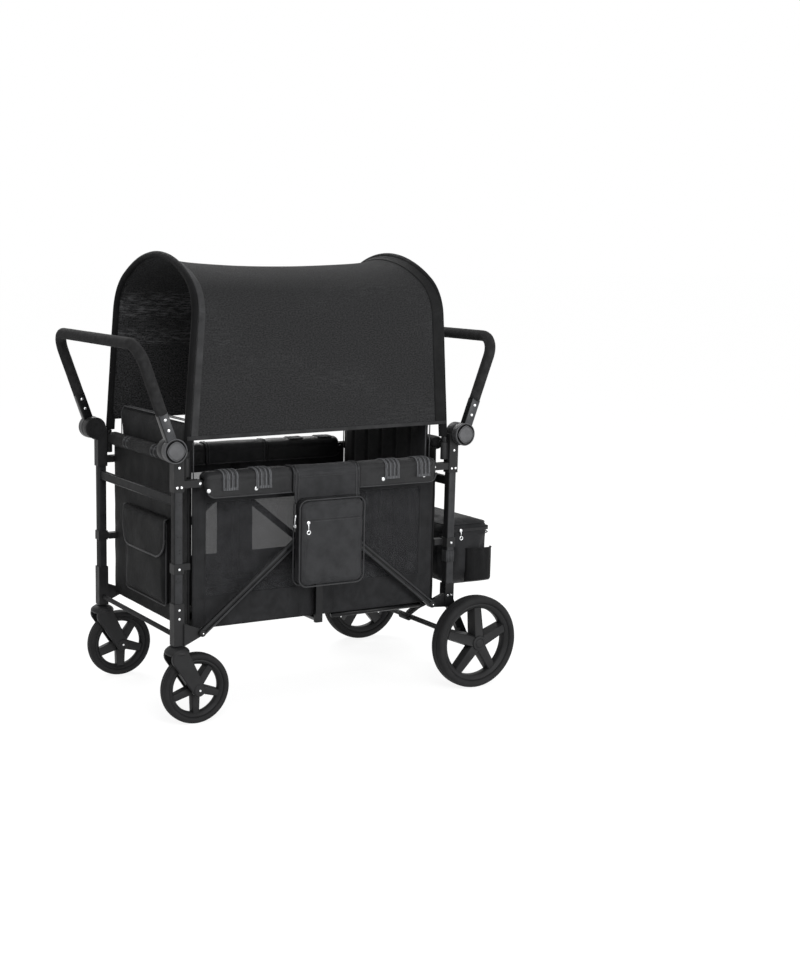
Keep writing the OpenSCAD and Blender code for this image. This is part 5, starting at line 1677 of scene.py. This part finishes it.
def area_lamp(name, place, target, size, power):
    """A rectangular lamp that faces a target."""
    lamp = bpy.data.lights.new(name, "AREA")
    lamp.shape = "RECTANGLE"
    lamp.size, lamp.size_y = size
    lamp.energy = power
    obj = bpy.data.objects.new(name, lamp)
    obj.location = place
    obj.rotation_euler = (Vector(target) - Vector(place)).to_track_quat("-Z", "Y").to_euler()
    bpy.context.scene.collection.objects.link(obj)


def seen_directly(tree):
    """1 for rays from the camera, mirrors and glass."""
    path = add_node(tree, "ShaderNodeLightPath")
    seen = combine(tree, "MAXIMUM", path.outputs["Is Camera Ray"], path.outputs["Is Glossy Ray"])
    return combine(tree, "MAXIMUM", seen, path.outputs["Is Transmission Ray"])


def make_stage():
    """Camera at the photograph's view, soft studio light and a pale floor."""
    scene = bpy.context.scene
    scene.view_settings.view_transform = "Standard"
    camera = bpy.data.cameras.new("camera")
    camera.sensor_width = 36
    camera.lens = CAMERA_LENS
    camera.shift_x, camera.shift_y = CAMERA_SHIFT
    holder = bpy.data.objects.new("camera", camera)
    scene.collection.objects.link(holder)
    holder.location = at(*CAMERA_PLACE)
    turn = Vector(CAMERA_FORWARD).to_track_quat("-Z", "Y").to_matrix()
    roll = Matrix.Rotation(math.radians(CAMERA_ROLL), 3, "Z")
    holder.rotation_euler = (turn @ roll).to_euler()
    scene.camera = holder
    bm = begin()
    bmesh.ops.create_grid(bm, x_segments=1, y_segments=1, size=FLOOR_SIZE)
    mesh = bpy.data.meshes.new("floor")
    bm.to_mesh(mesh)
    bm.free()
    floor = bpy.data.objects.new("floor", mesh)
    floor.location = (MID_X, 0, CAD_LOW.z)
    scene.collection.objects.link(floor)
    material = bpy.data.materials.new("pale_floor")
    material.use_nodes = True
    tree = material.node_tree
    tree.nodes.clear()
    matt = add_node(tree, "ShaderNodeBsdfDiffuse", Color=(0.82, 0.82, 0.82, 1))
    glow = add_node(tree, "ShaderNodeEmission", Color=(1, 1, 1, 1), Strength=1.21)
    share = combine(tree, "MULTIPLY", seen_directly(tree), 0.72)
    mix = add_node(tree, "ShaderNodeMixShader", {0: share, 1: matt.outputs[0], 2: glow.outputs[0]})
    add_node(tree, "ShaderNodeOutputMaterial", {"Surface": mix.outputs[0]})
    mesh.materials.append(material)
    world = bpy.data.worlds.new("studio")
    world.use_nodes = True
    tree = world.node_tree
    tree.nodes.clear()
    soft = add_node(tree, "ShaderNodeBackground", Color=(1, 1, 1, 1), Strength=0.55)
    white = add_node(tree, "ShaderNodeBackground", Color=(1, 1, 1, 1), Strength=1.0)
    mix = add_node(tree, "ShaderNodeMixShader",
                   {0: seen_directly(tree), 1: soft.outputs[0], 2: white.outputs[0]})
    add_node(tree, "ShaderNodeOutputWorld", {"Surface": mix.outputs[0]})
    scene.world = world
    area_lamp("key", at(-1.2, -3.4, 3.0), at(0, 0, 0.6), (1.8, 1.8), 80)
    area_lamp("fill", at(1.9, -4.4, 1.35), at(0, 0, 0.6), (2.0, 2.4), 80)
    area_lamp("back", at(0.5, 2.8, 2.8), at(0, 0, 0.7), (2.2, 1.2), 70)


# Operators


def make_finishes():
    """All the finishes, from the colours and sizes."""
    c, s = colours(), sizes()
    painted_finish("satin_paint", c.frame)
    # Painted highlight: the frame's paint 3.4 times lighter, for the posts' side faces, the scissor ridge
    # tops and the tube ridges.
    painted_finish("satin_painted_highlight", shade(c.frame, 3.4))
    painted_finish("satin_dark", c.frame, 0.65)
    # Painted highlight: the frame's paint 6 times lighter, for the arm plates' outer faces.
    painted_finish("arm_metal", shade(c.frame, 6.0))
    plastic_finish("moulded_plastic", c.plastic)
    plastic_finish("button_grey", shade(c.plastic, 5.5), 0.6)
    plastic_finish("bezel_grey", shade(c.plastic, 2.8), 0.35)
    metal_finish("bright_metal", c.metal)
    board_finish("hardboard", c.tub)
    tyre_finish("tyre_rubber", c.tyre)
    foam_finish("grip_foam", c.foam)
    cloth_finish("tub_cloth", c.tub, 0.62, s.weave, 0.006)
    cloth_finish("seat_cloth", shade(c.tub, 1.9), 0.7, s.weave, 0.006)
    cloth_finish("wall_cloth", shade(c.tub, 2.6), 0.6, s.weave, 0.006)
    cloth_finish("tub_leatherette", shade(c.tub, 2.0), 0.42, s.weave, 0.005, specular=0.2)
    cloth_finish("piping", shade(c.tub, 4.5), 0.42, s.weave / 2, 0.001, specular=0.25)
    cloth_finish("piping_grey", shade(c.tub, 8.0), 0.42, s.weave / 2, 0.001, specular=0.3)
    cloth_finish("pocket_cloth", shade(c.tub, 3.9), 0.55, s.weave, 0.004, specular=0.12)
    cloth_finish("hem_cloth", shade(c.canopy, 1.5), 0.8, s.weave, 0.002)
    cloth_finish("hem_edge", shade(c.canopy, 1.15), 0.8, s.weave, 0.002)
    # Painted shade: the canopy cloth 0.45 times as dark, for the rear binding.
    cloth_finish("hem_painted_shade", shade(c.canopy, 0.45), 0.8, s.weave, 0.002)
    cloth_finish("sleeve_cloth", shade(c.tub, 0.9), 0.8, s.weave, 0.004)
    canopy_finish("shade_cloth", c.canopy, 2.4, 0.35)
    # Painted shade and light: the inside is the same cloth 0.3 times as dark, with bands of painted light up
    # to 15 times its base.
    canopy_finish("shade_cloth_inside", shade(c.canopy, 0.3), 15.0, 0.95, with_painted_light=True)
    net_finish("window_net", shade(c.tub, 4.4), s.net)
    webbing_finish("webbing", c.webbing)
    webbing_finish("webbing_cross", shade(c.webbing, 0.45))
    zip_finish("zip_coil", shade(c.tub, 1.6))


class BuildStep:
    """Shared parts of the wagon's operators."""

    bl_options = {"REGISTER"}
    steps = ()

    def execute(self, context):
        for step in self.steps:
            step()
        return {"FINISHED"}


class WAGON_OT_stage(BuildStep, bpy.types.Operator):
    """Set up the camera, the light and the floor"""

    bl_idname = "wagon.stage"
    bl_label = "Stage"
    steps = (make_stage,)


class WAGON_OT_finishes(BuildStep, bpy.types.Operator):
    """Make the finishes from the colours"""

    bl_idname = "wagon.finishes"
    bl_label = "Finishes"
    steps = (make_finishes,)


class WAGON_OT_frame(BuildStep, bpy.types.Operator):
    """Finish the frame's tubes, brackets and scissor bars"""

    bl_idname = "wagon.frame"
    bl_label = "Frame"
    steps = (dress_frame, make_posts, make_scissor_bars)


class WAGON_OT_wheels(BuildStep, bpy.types.Operator):
    """Make the wheels, the caster forks, the brake's pad and the floor's edge tubes"""

    bl_idname = "wagon.wheels"
    bl_label = "Wheels and forks"
    steps = (make_wheels, make_forks, make_brake_spoon, make_floor_rims)


class WAGON_OT_handles(BuildStep, bpy.types.Operator):
    """Make the handle hubs, buttons, arm plates and grips"""

    bl_idname = "wagon.handles"
    bl_label = "Handles"
    steps = (make_handles,)


class WAGON_OT_canopy(BuildStep, bpy.types.Operator):
    """Make the canopy's cloth, hems and sleeves"""

    bl_idname = "wagon.canopy"
    bl_label = "Canopy"
    steps = (make_canopy,)


class WAGON_OT_tub(BuildStep, bpy.types.Operator):
    """Make the tub's walls, end panels, rail covers and seats"""

    bl_idname = "wagon.tub"
    bl_label = "Tub"
    steps = (make_walls, make_end_panels, make_rail_covers, make_seats)


class WAGON_OT_bags(BuildStep, bpy.types.Operator):
    """Make the side pocket, the front pocket and the rear bag"""

    bl_idname = "wagon.bags"
    bl_label = "Pockets and bag"
    steps = (make_side_pocket, make_front_pocket, make_rear_bag)


STEPS = (WAGON_OT_finishes, WAGON_OT_stage, WAGON_OT_frame, WAGON_OT_wheels, WAGON_OT_handles,
         WAGON_OT_canopy, WAGON_OT_tub, WAGON_OT_bags)


class WAGON_PT_panel(bpy.types.Panel):
    """Lists the wagon's sizes, colours and building steps"""

    bl_idname = "WAGON_PT_panel"
    bl_label = "Stroller wagon"
    bl_space_type = "VIEW_3D"
    bl_region_type = "UI"
    bl_category = "Wagon"

    def draw(self, context):
        for group in (context.scene.wagon_sizes, context.scene.wagon_colours):
            column = self.layout.column()
            for name in group.__annotations__:
                column.prop(group, name)
        for step in STEPS:
            self.layout.operator(step.bl_idname)


CLASSES = (WagonSizes, WagonColours, *STEPS, WAGON_PT_panel)


def register():
    for each in CLASSES:
        bpy.utils.register_class(each)
    bpy.types.Scene.wagon_sizes = PointerProperty(type=WagonSizes)
    bpy.types.Scene.wagon_colours = PointerProperty(type=WagonColours)


def unregister():
    del bpy.types.Scene.wagon_colours
    del bpy.types.Scene.wagon_sizes
    for each in reversed(CLASSES):
        bpy.utils.unregister_class(each)


def main():
    """Builds the whole wagon."""
    register()
    for step in STEPS:
        group, name = step.bl_idname.split(".")
        getattr(getattr(bpy.ops, group), name)()


if __name__ == "__main__":
    main()
